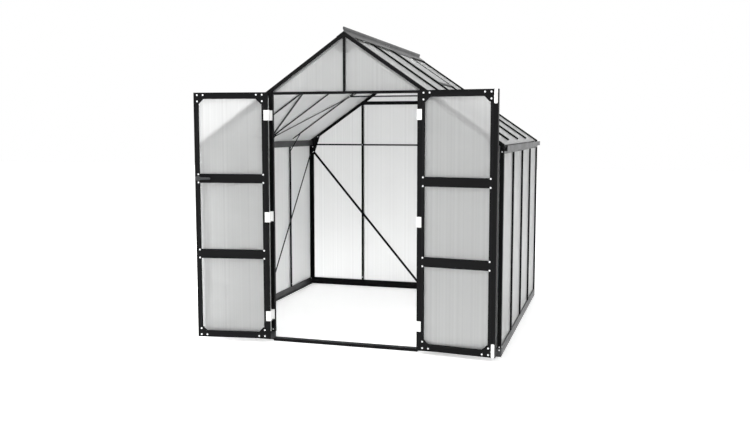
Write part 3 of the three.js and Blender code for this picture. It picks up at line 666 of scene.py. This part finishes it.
TRIM_NODES = (
    "left_eave_beam", "right_eave_beam", "ridge_beam", "roof_vent_frame", "left_base_rail", "right_base_rail",
    "front_left_base_rail", "front_right_base_rail", "door_handle",
)


def finish_of(name):
    if name.endswith("_sheet"):
        return "roof pane" if "roof" in name else "pane"
    if "_door_hinge_" in name:
        return "plastic"
    return "trim coat" if name in TRIM_NODES else "frame coat"


class GREENHOUSE_OT_finish_frame(bpy.types.Operator):
    """Gives every piece of the CAD frame its finish and its rounded edges"""

    bl_idname = "greenhouse.finish_frame"
    bl_label = "Finish the frame"

    def execute(self, context):
        for name, node in frame["nodes"].items():
            if not node.material_slots:
                raise RuntimeError(f"{name} has no material slot")
            for place in node.material_slots:
                place.material = finish(finish_of(name))
            if name.endswith("_sheet"):
                continue
            weld = node.modifiers.new("joined triangles", "WELD")
            weld.merge_threshold = 0.00001
            width, segments = (0.003, 3) if name == "door_handle" else (0.0008, 2)
            soften(node, width, segments)
        return {"FINISHED"}


# Glazing


def spaced(low, high, pitch, gaps=()):
    """Even places between two ends, clear of the gaps' middles."""
    count = int((high - low) / pitch)
    start = low + (high - low - count * pitch) / 2
    places = (start + i * pitch for i in range(count + 1))
    return [p for p in places if low < p < high and all(abs(p - gap) > SLOT_HALF for gap in gaps)]


def upright_webs(node, glazing, bars):
    """Webs of an upright sheet, which may run up to the roof's line."""
    low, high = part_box(node)
    faces_front = high.x - low.x > glazing.web_pitch
    along = 0 if faces_front else 1
    way, facing = (ACROSS, INWARD) if faces_front else (INWARD, ACROSS)
    peak = max((v.co for v in frame["nodes"][node].data.vertices), key=lambda p: p.z)
    foot = low.z + glazing.end_margin
    rows = []
    for place in spaced(low[along], high[along], glazing.web_pitch, [middle(bar, way) for bar in bars]):
        ceiling = high.z
        if faces_front:
            ceiling = min(high.z, peak.z - (abs(place) - abs(peak.x)) * math.tan(PITCH))
        ceiling -= glazing.end_margin * 2
        if ceiling - foot < glazing.web_pitch:
            continue
        point = (low + high) / 2
        point[along] = place
        rows.append(strip(Vector((point.x, point.y, foot)), Vector((point.x, point.y, ceiling)), facing))
    return rows


def slope_webs(slope, sheet, glazing, gaps=(), hole=None):
    """Webs of a sheet on a roof slope, left out over a hole given by its s and y."""
    start, end = reach(sheet, slope.down)
    depth = middle(sheet, slope.out)
    margin = glazing.end_margin
    rows = []
    for y in spaced(*reach(sheet, INWARD), glazing.web_pitch, gaps):
        spans = [(start, end)]
        if hole and hole[1][0] < y < hole[1][1]:
            spans = [(start, hole[0][0]), (hole[0][1], end)]
        rows += [strip(slope.at(low + margin, y, depth), slope.at(high - margin, y, depth), slope.out)
                 for low, high in spans]
    return rows


def roof_webs(side, glazing):
    """Webs of one roof slope. The right slope has the vent, whose sheet has its own webs."""
    slope = Slope(side)
    gaps = [middle(f"{side}_roof_bar_{i}", INWARD) for i in NUMBERS]
    if side == "left":
        return slope_webs(slope, "left_roof_sheet", glazing, gaps)
    inset = glazing.vent_margin
    vent = (reach("roof_vent_frame", way) for way in (slope.down, INWARD))
    hole = [(low + inset, high - inset) for low, high in vent]
    rows = slope_webs(slope, "right_roof_sheet", glazing, gaps, hole)
    return rows + slope_webs(slope, "roof_vent_sheet", glazing)


def leaf_webs(leaf, glazing):
    """Webs of a leaf's sheet, left out where the mid rails pass through it."""
    u, v, _ = leaf.sheet
    depth = sum(v) / 2
    margin = glazing.end_margin
    facing = leaf.towards(0, 1, 0)
    return [strip(leaf.at(place, depth, low + margin), leaf.at(place, depth, high - margin), facing)
            for place in spaced(*u, glazing.web_pitch)
            for low, high in zip(leaf.levels[::2], leaf.levels[1::2])]


class GREENHOUSE_OT_glazing_webs(bpy.types.Operator):
    """Runs the webs inside every twin-wall sheet"""

    bl_idname = "greenhouse.glazing_webs"
    bl_label = "Glazing webs"

    def execute(self, context):
        glazing = context.scene.greenhouse_glazing
        low, high = reach("left_wall_sheet", ACROSS)
        thickness = high - low - 2 * glazing.skin
        walls = {f"{wall}_wall_sheet": [f"{wall}_wall_bar_{i}" for i in NUMBERS] for wall in (*SIDES, "rear")}
        walls |= {"front_gable_sheet": ["front_gable_bar"], "front_left_sheet": [], "front_right_sheet": []}
        upright = [row for node, bars in walls.items() for row in upright_webs(node, glazing, bars)]
        sloping = [row for side in SIDES for row in roof_webs(side, glazing)]
        pieces = [("wall_webs", upright, "house"), ("roof_webs", sloping, "house")]
        for side in SIDES:
            leaf = DoorLeaf(side)
            pieces.append((f"{side}_door_webs", leaf_webs(leaf, glazing), leaf.body))
        for name, rows, body in pieces:
            strips(name, rows, glazing.web_width, thickness, "web", body)
        return {"FINISHED"}


# Bracing


class GREENHOUSE_OT_wall_braces(bpy.types.Operator):
    """Fixes the flat braces across the rear and side walls, with their screws"""

    bl_idname = "greenhouse.wall_braces"
    bl_label = "Wall braces"

    def execute(self, context):
        bracing = context.scene.greenhouse_bracing
        thickness = bracing.strip_thickness
        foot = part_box("rear_base_rail")[1].z + bracing.foot_rise
        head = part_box("rear_eave_rail")[0].z - bracing.head_drop
        rear_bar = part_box("rear_wall_bar_2")[0].y
        rear_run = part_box("rear_right_post")[0].x - 0.023
        walls = [(INWARD, ACROSS, rear_bar, 0, rear_run, head + 0.037)]
        for side, sign in SIDES.items():
            bar = f"{side}_wall_bar_2"
            centre = middle(bar, INWARD)
            walls.append((sign * ACROSS, INWARD, inner_x(bar, sign), centre, rear_bar - 0.03 - centre, head))
        rows, heads = [], []
        for out, along, bars, centre, run, top in walls:
            crossing = out * (bars - GAP - thickness / 2) + along * centre + UP * foot
            for i, way in enumerate((-1, 1)):
                low = crossing - out * i * (thickness + GAP)
                high = low + along * way * run + UP * (top - foot)
                rows.append(strip(high, low, -out))
                heads.append(screw(high.lerp(low, 0.006) - out * thickness, -out))
            heads.append(screw(crossing - out * 2 * thickness, -out))
        strips("wall_braces", rows, bracing.strip_width, thickness, "frame coat")
        screws("wall_brace_screws", heads, context.scene.greenhouse_fittings.small_screw)
        return {"FINISHED"}


class GREENHOUSE_OT_roof_braces(bpy.types.Operator):
    """Fixes the roof braces, the ties under the ridge and the struts at the eaves"""

    bl_idname = "greenhouse.roof_braces"
    bl_label = "Roof braces"

    def execute(self, context):
        bracing = context.scene.greenhouse_bracing
        thickness = bracing.strip_thickness
        proud = GAP + thickness / 2
        sloping, level, struts, heads = [], [], [], []
        for side, sign in SIDES.items():
            slope = Slope(side)
            bar = f"{side}_roof_bar_2"
            start, end = reach(bar, slope.down)
            under = reach(bar, slope.out)[0] - proud
            centre = middle(bar, INWARD)
            for way in (-1, 1):
                foot = slope.at(end - 0.03, centre + way * 0.012, under)
                head = slope.at(start + 0.05, centre + way * (centre - 0.06), under)
                sloping.append(strip(foot, head, -slope.out))
                heads += [screw(p - slope.out * thickness / 2, -slope.out) for p in (foot, head)]
            wall_bars = [f"{side}_wall_bar_{i}" for i in NUMBERS]
            for i in NUMBERS:
                centre = middle(f"{side}_roof_bar_{i}", INWARD)
                below = min(wall_bars, key=lambda name: abs(middle(name, INWARD) - centre))
                inner = inner_x(below, sign)
                y = centre + INNER_HALF + proud
                end = inner - bracing.strut_run
                low = Vector((sign * (inner + 0.006), y, reach(below, UP)[1] - 0.041))
                high = Vector((sign * end, y, roof_line(end, 0.025)))
                struts.append(strip(low, high, INWARD))
                heads += [screw(p + INWARD * thickness / 2, INWARD) for p in (low, high)]
        for i in (1, 3):
            y = middle(f"left_roof_bar_{i}", INWARD) - INNER_HALF - proud
            z = bracing.tie_height
            half = (RIDGE - z - 0.026 / math.cos(PITCH)) / math.tan(PITCH)
            ends = [Vector((sign * half, y, z)) for sign in (-1, 1)]
            level.append(strip(*ends, -INWARD))
            heads += [screw(p - INWARD * thickness / 2, -INWARD) for p in ends]
        strips("roof_braces", sloping, bracing.roof_strip_width, thickness, "frame coat")
        strips("roof_ties", level, bracing.tie_width, thickness, "frame coat")
        strips("eave_struts", struts, bracing.strut_width, thickness, "frame coat")
        screws("roof_brace_screws", heads, context.scene.greenhouse_fittings.small_screw)
        return {"FINISHED"}


class GREENHOUSE_OT_gussets(bpy.types.Operator):
    """Plates the corners and tops of both gables on the inside, with their screws"""

    bl_idname = "greenhouse.gussets"
    bl_label = "Gussets"

    def execute(self, context):
        bracing = context.scene.greenhouse_bracing
        size = bracing.gusset
        edge = GUSSET_EDGE
        inner = edge - size
        peak, shoulder = (roof_line(x, 0.027) for x in (0, size))
        lower = [(size, shoulder), (size * 0.75, shoulder - size * 0.35), (0.02, peak - size * 1.3)]
        ridge_plate = [(-size, shoulder), (0, peak), *lower, *((-x, z) for x, z in reversed(lower[1:]))]
        corner_plate = [(edge, roof_line(edge, 0.03)), (inner, roof_line(inner, 0.03)),
                        (inner, roof_line(inner, 0.046)), (edge - 0.03, EAVE_FOOT - size), (edge, EAVE_FOOT - size)]
        ridge_screws = [(size * share, roof_line(size * share, 0.04)) for share in (-0.8, -0.35, 0.35, 0.8)]
        corner_screws = [(edge - 0.015, EAVE_FOOT - size * 0.7), (edge - 0.015, EAVE_FOOT - size * 0.1),
                         (edge - size * 0.75, roof_line(edge - size * 0.75, 0.038))]
        plates = Shape()
        heads = []
        for base, way in ((0.0, 1), (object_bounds()[1][1], -1)):
            near = base + way * (GABLE_DEPTH + GAP)
            far = near + way * bracing.plate
            plates.prism(ridge_plate, (near, far), "y")
            heads += [screw(Vector((x, far, z)), INWARD * way) for x, z in ridge_screws]
            for sign in (-1, 1):
                plates.prism([(sign * x, z) for x, z in corner_plate], (near, far), "y")
                heads += [screw(Vector((sign * x, far, z)), INWARD * way) for x, z in corner_screws]
        make_piece("gable_gussets", mesh_of(plates), "frame coat", "house", 0.0005)
        screws("gusset_screws", heads, context.scene.greenhouse_fittings.small_screw)
        return {"FINISHED"}


class GREENHOUSE_OT_corner_angles(bpy.types.Operator):
    """Lines the inside of each corner post with an angle"""

    bl_idname = "greenhouse.corner_angles"
    bl_label = "Corner angles"

    def execute(self, context):
        bracing = context.scene.greenhouse_bracing
        arm, thick = bracing.angle_arm, bracing.plate
        section = [(0, 0), (arm, 0), (arm, thick), (thick, thick), (thick, arm), (0, arm)]
        heights = (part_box("left_base_rail")[1].z + GAP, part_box("left_wall_bar_2")[1].z)
        inset = SHEET_TO_LEG + GAP
        ends = ((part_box("front_left_sheet")[1].y + inset, 1), (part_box("rear_wall_sheet")[0].y - inset, -1))
        shape = Shape()
        for side, sign in SIDES.items():
            x = sign * (inner_x(f"{side}_wall_sheet", sign) - inset)
            for y, way in ends:
                shape.prism([(x - sign * a, y + way * b) for a, b in section], heights, "z")
        make_piece("corner_angles", mesh_of(shape), "frame coat", "house", 0.0004)
        return {"FINISHED"}


# Doors


class GREENHOUSE_OT_door_plates(bpy.types.Operator):
    """Plates the corners of both leaves and screws them and the mid rails down"""

    bl_idname = "greenhouse.door_plates"
    bl_label = "Door corner plates"

    def execute(self, context):
        fittings = context.scene.greenhouse_fittings
        width, rise = fittings.corner_plate, fittings.corner_rise
        corner = [(0, 0.008), (width, 0.008), (width, rise * 0.45), (width * 0.36, rise), (0, rise)]
        for side in SIDES:
            leaf = DoorLeaf(side)
            face = leaf.inner_face - LEAF_RECESS + GAP
            back = face + fittings.plate
            inward = leaf.towards(0, 1, 0)
            shape = Shape(leaf.at)
            heads = []
            for u, sign_u in zip(leaf.bands, (1, -1)):
                for z, sign_z in ((leaf.foot, 1), (leaf.top, -1)):
                    shape.prism([(u + sign_u * a, z + sign_z * b) for a, b in corner], (face, back), "y")
                    heads += [screw(leaf.at(u + sign_u * a, back, z + sign_z * b), inward)
                              for a, b in PLATE_SCREWS]
                heads += [screw(leaf.at(u + sign_u * 0.015, face - GAP, height + off), inward)
                          for height in leaf.mid_rails for off in (-0.033, 0.033)]
            name = f"{side}_door_corner_plates"
            make_piece(name, mesh_of(shape), "frame coat", leaf.body, 0.0006)
            screws(f"{side}_door_screws", heads, fittings.screw_radius, leaf.body)
        return {"FINISHED"}


def windows(leaf):
    """Each window of a leaf as (u0, u1, z0, z1)."""
    low, high = leaf.bands
    feet = [leaf.foot + END_RAIL, *(z + MID_RAIL_HALF for z in leaf.mid_rails)]
    tops = [*(z - MID_RAIL_HALF for z in leaf.mid_rails), leaf.top - END_RAIL]
    return [(low + INNER_STILE, high - INNER_STILE, z0, z1) for z0, z1 in zip(feet, tops)]


class GREENHOUSE_OT_door_seals(bpy.types.Operator):
    """Lines the windows of both leaves with black rubber, and lays a thin black strip on each inner stile as
    painted shade inside its channel
    """

    bl_idname = "greenhouse.door_seals"
    bl_label = "Door seals"

    def execute(self, context):
        thick = context.scene.greenhouse_glazing.seal_thickness
        inset = thick / 2 + GAP
        for side in SIDES:
            leaf = DoorLeaf(side)
            near = leaf.sheet[1][1] + GAP
            far = leaf.inner_face - LEAF_RECESS
            v = (near + far) / 2
            rows = []
            for u0, u1, z0, z1 in windows(leaf):
                for u, way in ((u0 + inset, 1), (u1 - inset, -1)):
                    ends = (leaf.at(u, v, z0 + thick + GAP), leaf.at(u, v, z1 - thick - GAP))
                    rows.append(strip(*ends, leaf.towards(way, 0, 0)))
                for z, way in ((z0 + inset, 1), (z1 - inset, -1)):
                    ends = (leaf.at(u0 + GAP, v, z), leaf.at(u1 - GAP, v, z))
                    rows.append(strip(*ends, leaf.towards(0, 0, way)))
            strips(f"{side}_door_seals", rows, far - near, thick, "seal", leaf.body)
            # Painted shade: a black strip, one gap thick, lies over each inner stile in place of the shade inside
            # its channel.
            face = far + GAP / 2
            foot, top = leaf.foot + 0.0085, leaf.top - 0.0085
            painted_shade_strips = [strip(leaf.at(u, face, foot), leaf.at(u, face, top), leaf.towards(0, 1, 0))
                      for u in (leaf.bands[0] + INNER_STILE / 2, leaf.bands[1] - INNER_STILE / 2)]
            strips(f"{side}_door_channel_painted_shade", painted_shade_strips, INNER_STILE - 0.001, GAP, "seal", leaf.body)
        return {"FINISHED"}


class GREENHOUSE_OT_hinge_brackets(bpy.types.Operator):
    """Fixes the house's half of each hinge to the jambs, with its pin"""

    bl_idname = "greenhouse.hinge_brackets"
    bl_label = "Hinge brackets"

    def execute(self, context):
        radius = context.scene.greenhouse_fittings.pin_radius
        pin_profile = [(0, -0.043), (radius, -0.0428), (radius, 0.0405), (0.0048, 0.0406), (0.0042, 0.0428),
                       (0, 0.0432)]
        for side, sign in SIDES.items():
            leaf = DoorLeaf(side)
            x, y = abs(leaf.pin.x), leaf.pin.y
            shape, pins = (Shape(lambda a, b, c, sign=sign: Vector((sign * a, b, c))) for _ in range(2))
            for number in NUMBERS:
                low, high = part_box(f"{side}_door_hinge_{number}")
                centre = (low.z + high.z) / 2
                shape.block((x - 0.010, x + 0.020), (-0.0033, -0.0003), (low.z, high.z))
                shape.block((x + 0.0085, x + 0.0125), (-0.050, -0.001), (low.z, high.z))
                for way in (-1, 1):
                    foot, top = sorted(centre + way * end for end in KNUCKLE)
                    shape.block((x - 0.003, x + 0.010), (y - 0.004, y + 0.004), (foot, top))
                    shape.rod((x, y, foot), (x, y, top), 0.006, 20)
                pins.turned(pin_profile, (x, y, centre), (0, 0, 1), 16)
            make_piece(f"{side}_hinge_brackets", mesh_of(shape), "plastic", "house", 0.0006)
            make_piece(f"{side}_hinge_pins", mesh_of(pins), "screw", "house")
        return {"FINISHED"}


class GREENHOUSE_OT_door_bolts(bpy.types.Operator):
    """Fits the sliding bolts at the top and foot of the right leaf"""

    bl_idname = "greenhouse.door_bolts"
    bl_label = "Door bolts"

    def execute(self, context):
        fittings = context.scene.greenhouse_fittings
        leaf = DoorLeaf("right")
        face = leaf.inner_face + GAP
        u = (leaf.bands[1] + leaf.free_edge) / 2
        half = fittings.bolt_width / 2
        corner = half * 0.6
        knob = [(0, 0), (0.006, 0), (0.006, 0.008), (0.0085, 0.010), (0.0085, 0.016), (0.006, 0.019), (0, 0.0195)]
        housing = Shape(leaf.at)
        rods = Shape(leaf.at)
        for end, way, lap in ((leaf.top, -1, 0.024), (leaf.foot, 1, 0.001)):
            back = end + way * fittings.bolt_length
            low, high = sorted((end, back))
            corners = ((1, high - corner), (-1, high - corner), (-1, low + corner), (1, low + corner))
            outline = [point for turn, (sign, z) in enumerate(corners)
                       for point in arc((u + sign * half * 0.4, z), corner, 90 * turn, 90, 8)]
            housing.prism(outline, (face, face + 0.003), "y")
            slide = sorted((end + way * max(lap, 0.008), back - way * 0.008))
            housing.block((u - half * 0.62, u + half * 0.62), (face + 0.002, face + 0.015), slide)
            housing.turned(knob, (u, face + 0.013, (low + high) / 2), (0, 1, 0), 20)
            rods.rod((u, face + 0.008, end + way * lap), (u, face + 0.008, end + way * 0.04), 0.0045, 16)
        make_piece("right_door_bolts", mesh_of(housing), "plastic", leaf.body, 0.0012)
        make_piece("right_door_bolt_rods", mesh_of(rods), "screw", leaf.body, 0.0008)
        return {"FINISHED"}


class GREENHOUSE_OT_outer_handle(bpy.types.Operator):
    """Fits the outside lever of the left leaf and the plate round the inside one"""

    bl_idname = "greenhouse.outer_handle"
    bl_label = "Outside handle"

    def execute(self, context):
        leaf = DoorLeaf("left")
        u, v, z = leaf.extent("door_handle")
        spindle = leaf.free_edge - HANDLE_EDGE
        height = sum(z) / 2
        outer = leaf.outer_face - GAP
        neck = [(0, 0), (0.021, 0), (0.021, 0.003), (0.019, 0.0045), (0.011, 0.0045), (0.010, 0.014), (0, 0.014)]
        rose = [(0, 0), (0.0215, 0), (0.0215, 0.0022), (0.0195, 0.0032), (0, 0.0032)]
        shape = Shape(leaf.at)
        shape.turned(neck, (spindle, outer, height), (0, -1, 0), 32)
        shape.turned(rose, (spindle, v[0], height), (0, 1, 0), 32)
        tip_radius = 0.008
        lever = arc((spindle, height), 0.010, -90, 180, 10)
        lever += arc((u[0] + tip_radius, height), tip_radius, 90, 180, 10)
        shape.prism(lever, (outer - 0.023, outer - 0.013), "y")
        make_piece("left_door_outer_handle", mesh_of(shape), "trim coat", leaf.body, 0.002)
        return {"FINISHED"}


# Roof edges and small fixings


class GREENHOUSE_OT_gutter_caps(bpy.types.Operator):
    """Closes the gutters and joins the ridge in its middle"""

    bl_idname = "greenhouse.gutter_caps"
    bl_label = "Gutter caps"

    def execute(self, context):
        plate = context.scene.greenhouse_bracing.plate
        caps = Shape()
        joint = Shape()
        foot = EAVE_PLATE - 0.004 + GAP
        for side, sign in SIDES.items():
            beam = f"{side}_eave_beam"
            low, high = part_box(beam)
            outer = outer_x(beam, sign) - 0.0032
            inner = outer_x(beam, sign) - 0.0262
            outline = [(outer, foot), (inner, foot), (inner, foot + 0.006), (outer, high.z - 0.002)]
            for near, far in ((low.y, low.y + 0.0025), (high.y - 0.0025, high.y)):
                caps.prism([(sign * x, z) for x, z in outline], (near + GAP, far - GAP), "y")
        low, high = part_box("ridge_beam")
        centre = (low.y + high.y) / 2
        near = RIDGE_FIN_HALF + GAP
        far = near + plate
        heights = (roof_line(0.006, -0.0045), high.z - 0.0225)
        for sign in (-1, 1):
            joint.block(sorted((sign * near, sign * far)), (centre - 0.06, centre + 0.06), heights)
        make_piece("gutter_caps", mesh_of(caps), "seal", "house", 0.0004)
        make_piece("ridge_joint", mesh_of(joint), "trim coat", "house", 0.0005)
        rows = [screw(Vector((sign * (far + GAP), centre + y, high.z - 0.03)), ACROSS * sign)
                for sign in (-1, 1) for y in (-0.04, 0.04)]
        screws("ridge_joint_screws", rows, 0.004)
        return {"FINISHED"}


class GREENHOUSE_OT_frame_screws(bpy.types.Operator):
    """Screws the bars, posts and rails of the house together"""

    bl_idname = "greenhouse.frame_screws"
    bl_label = "Frame screws"

    def execute(self, context):
        rows = []
        for side, sign in SIDES.items():
            slope = Slope(side)
            for i in NUMBERS:
                bar = f"{side}_wall_bar_{i}"
                low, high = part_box(bar)
                x, y = sign * inner_x(bar, sign), (low.y + high.y) / 2
                rows += [screw(Vector((x, y, z)), -sign * ACROSS) for z in (low.z + 0.03, high.z - 0.02)]
                bar = f"{side}_roof_bar_{i}"
                start, end = reach(bar, slope.down)
                under = reach(bar, slope.out)[0]
                y = middle(bar, INWARD)
                rows += [screw(slope.at(s, y, under), -slope.out) for s in (start + 0.03, end - 0.012)]
            post = f"front_{side}_post"
            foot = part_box(post)[0].z
            outer = outer_x(post, sign)
            heights = (foot + 0.008, foot - 0.015, EAVE_PLATE - 0.009)
            rows += [screw(Vector((sign * (outer - 0.015), 0, z)), -INWARD) for z in heights]
            rows.append(screw(Vector((sign * outer, 0.015, foot + 0.008)), sign * ACROSS))
            low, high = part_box(f"{side}_door_jamb")
            rows.append(screw(Vector(((low.x + high.x) / 2, 0, low.z + 0.02)), -INWARD))
        rails = [middle(f"rear_{name}_rail", UP) for name in ("eave", "collar")]
        rail_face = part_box("rear_eave_rail")[0].y
        for i in NUMBERS:
            low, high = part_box(f"rear_wall_bar_{i}")
            x = (low.x + high.x) / 2
            rows.append(screw(Vector((x, low.y, low.z + 0.03)), -INWARD))
            rows += [screw(Vector((x, rail_face, z)), -INWARD) for z in (rails if i == 2 else rails[:1])]
        screws("frame_screws", rows, context.scene.greenhouse_fittings.small_screw)
        return {"FINISHED"}


# Studio


class GREENHOUSE_OT_studio(bpy.types.Operator):
    """Sets up the pale floor, the soft light and the camera"""

    bl_idname = "greenhouse.studio"
    bl_label = "Studio"

    def execute(self, context):
        scene = context.scene
        studio = scene.greenhouse_studio
        half = studio.floor_size / 2
        mesh = bpy.data.meshes.new("studio_floor")
        corners = ((-1, -1), (1, -1), (1, 1), (-1, 1))
        mesh.from_pydata([(x * half, y * half, FLOOR_HEIGHT) for x, y in corners], [], [(0, 1, 2, 3)])
        pale = bpy.data.materials.new("studio floor")
        pale.use_nodes = True
        sockets = pale.node_tree.nodes["Principled BSDF"].inputs
        sockets["Base Color"].default_value = (0.95, 0.95, 0.95, 1)
        sockets["Roughness"].default_value = 0.7
        sockets["Emission Color"].default_value = (1, 1, 1, 1)
        sockets["Emission Strength"].default_value = 0.4
        mesh.materials.append(pale)
        floor = bpy.data.objects.new("studio_floor", mesh)
        scene.collection.objects.link(floor)
        floor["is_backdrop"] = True
        world = bpy.data.worlds.new("white room")
        world.use_nodes = True
        room = world.node_tree.nodes["Background"]
        room.inputs["Color"].default_value = (1, 1, 1, 1)
        room.inputs["Strength"].default_value = studio.sky
        scene.world = world
        centre = Vector((0, 1.2, 1.2))
        lamps = (("key", (-0.45, -0.6, 0.75), studio.key, 4.0), ("left", (-0.95, 0.1, 0.2), studio.side, 5.0),
                 ("back", (-0.3, 0.95, 0.1), studio.back, 5.0))
        for name, way, energy, size in lamps:
            lamp = bpy.data.lights.new(f"studio_{name}", "AREA")
            lamp.energy = energy
            lamp.size = size
            stand = bpy.data.objects.new(f"studio_{name}", lamp)
            stand.location = centre + Vector(way).normalized() * studio.distance
            stand.rotation_euler = (centre - stand.location).to_track_quat("-Z", "Y").to_euler()
            scene.collection.objects.link(stand)
        eye = bpy.data.cameras.new("studio_camera")
        eye.lens = studio.lens
        eye.sensor_width = 36
        camera = bpy.data.objects.new("studio_camera", eye)
        camera.location = (2.093, -6.2002, 1.7212)
        camera.rotation_euler = (math.radians(84.3976), 0, math.radians(16.5363))
        scene.collection.objects.link(camera)
        scene.camera = camera
        scene.view_settings.view_transform = "Standard"
        return {"FINISHED"}


OPERATORS = (
    GREENHOUSE_OT_finish_frame,
    GREENHOUSE_OT_glazing_webs,
    GREENHOUSE_OT_wall_braces,
    GREENHOUSE_OT_roof_braces,
    GREENHOUSE_OT_gussets,
    GREENHOUSE_OT_corner_angles,
    GREENHOUSE_OT_door_plates,
    GREENHOUSE_OT_door_seals,
    GREENHOUSE_OT_hinge_brackets,
    GREENHOUSE_OT_door_bolts,
    GREENHOUSE_OT_outer_handle,
    GREENHOUSE_OT_gutter_caps,
    GREENHOUSE_OT_frame_screws,
    GREENHOUSE_OT_studio,
)


class GREENHOUSE_PT_sidebar(bpy.types.Panel):
    """Lists the greenhouse's pieces and sizes"""

    bl_idname = "GREENHOUSE_PT_sidebar"
    bl_label = "Greenhouse"
    bl_space_type = "VIEW_3D"
    bl_region_type = "UI"
    bl_category = "Greenhouse"

    def draw(self, context):
        for name, settings in SETTINGS.items():
            column = self.layout.column(align=True)
            for key in settings.__annotations__:
                column.prop(getattr(context.scene, name), key)
        column = self.layout.column(align=True)
        for operator in OPERATORS:
            column.operator(operator.bl_idname)


CLASSES = (*SETTINGS.values(), *OPERATORS, GREENHOUSE_PT_sidebar)


def register():
    for each in CLASSES:
        bpy.utils.register_class(each)
    for name, settings in SETTINGS.items():
        setattr(bpy.types.Scene, name, bpy.props.PointerProperty(type=settings))


def unregister():
    for name in SETTINGS:
        delattr(bpy.types.Scene, name)
    for each in reversed(CLASSES):
        bpy.utils.unregister_class(each)


def main():
    register()
    for operator in OPERATORS:
        group, name = operator.bl_idname.split(".")
        getattr(getattr(bpy.ops, group), name)()


if __name__ == "__main__":
    main()
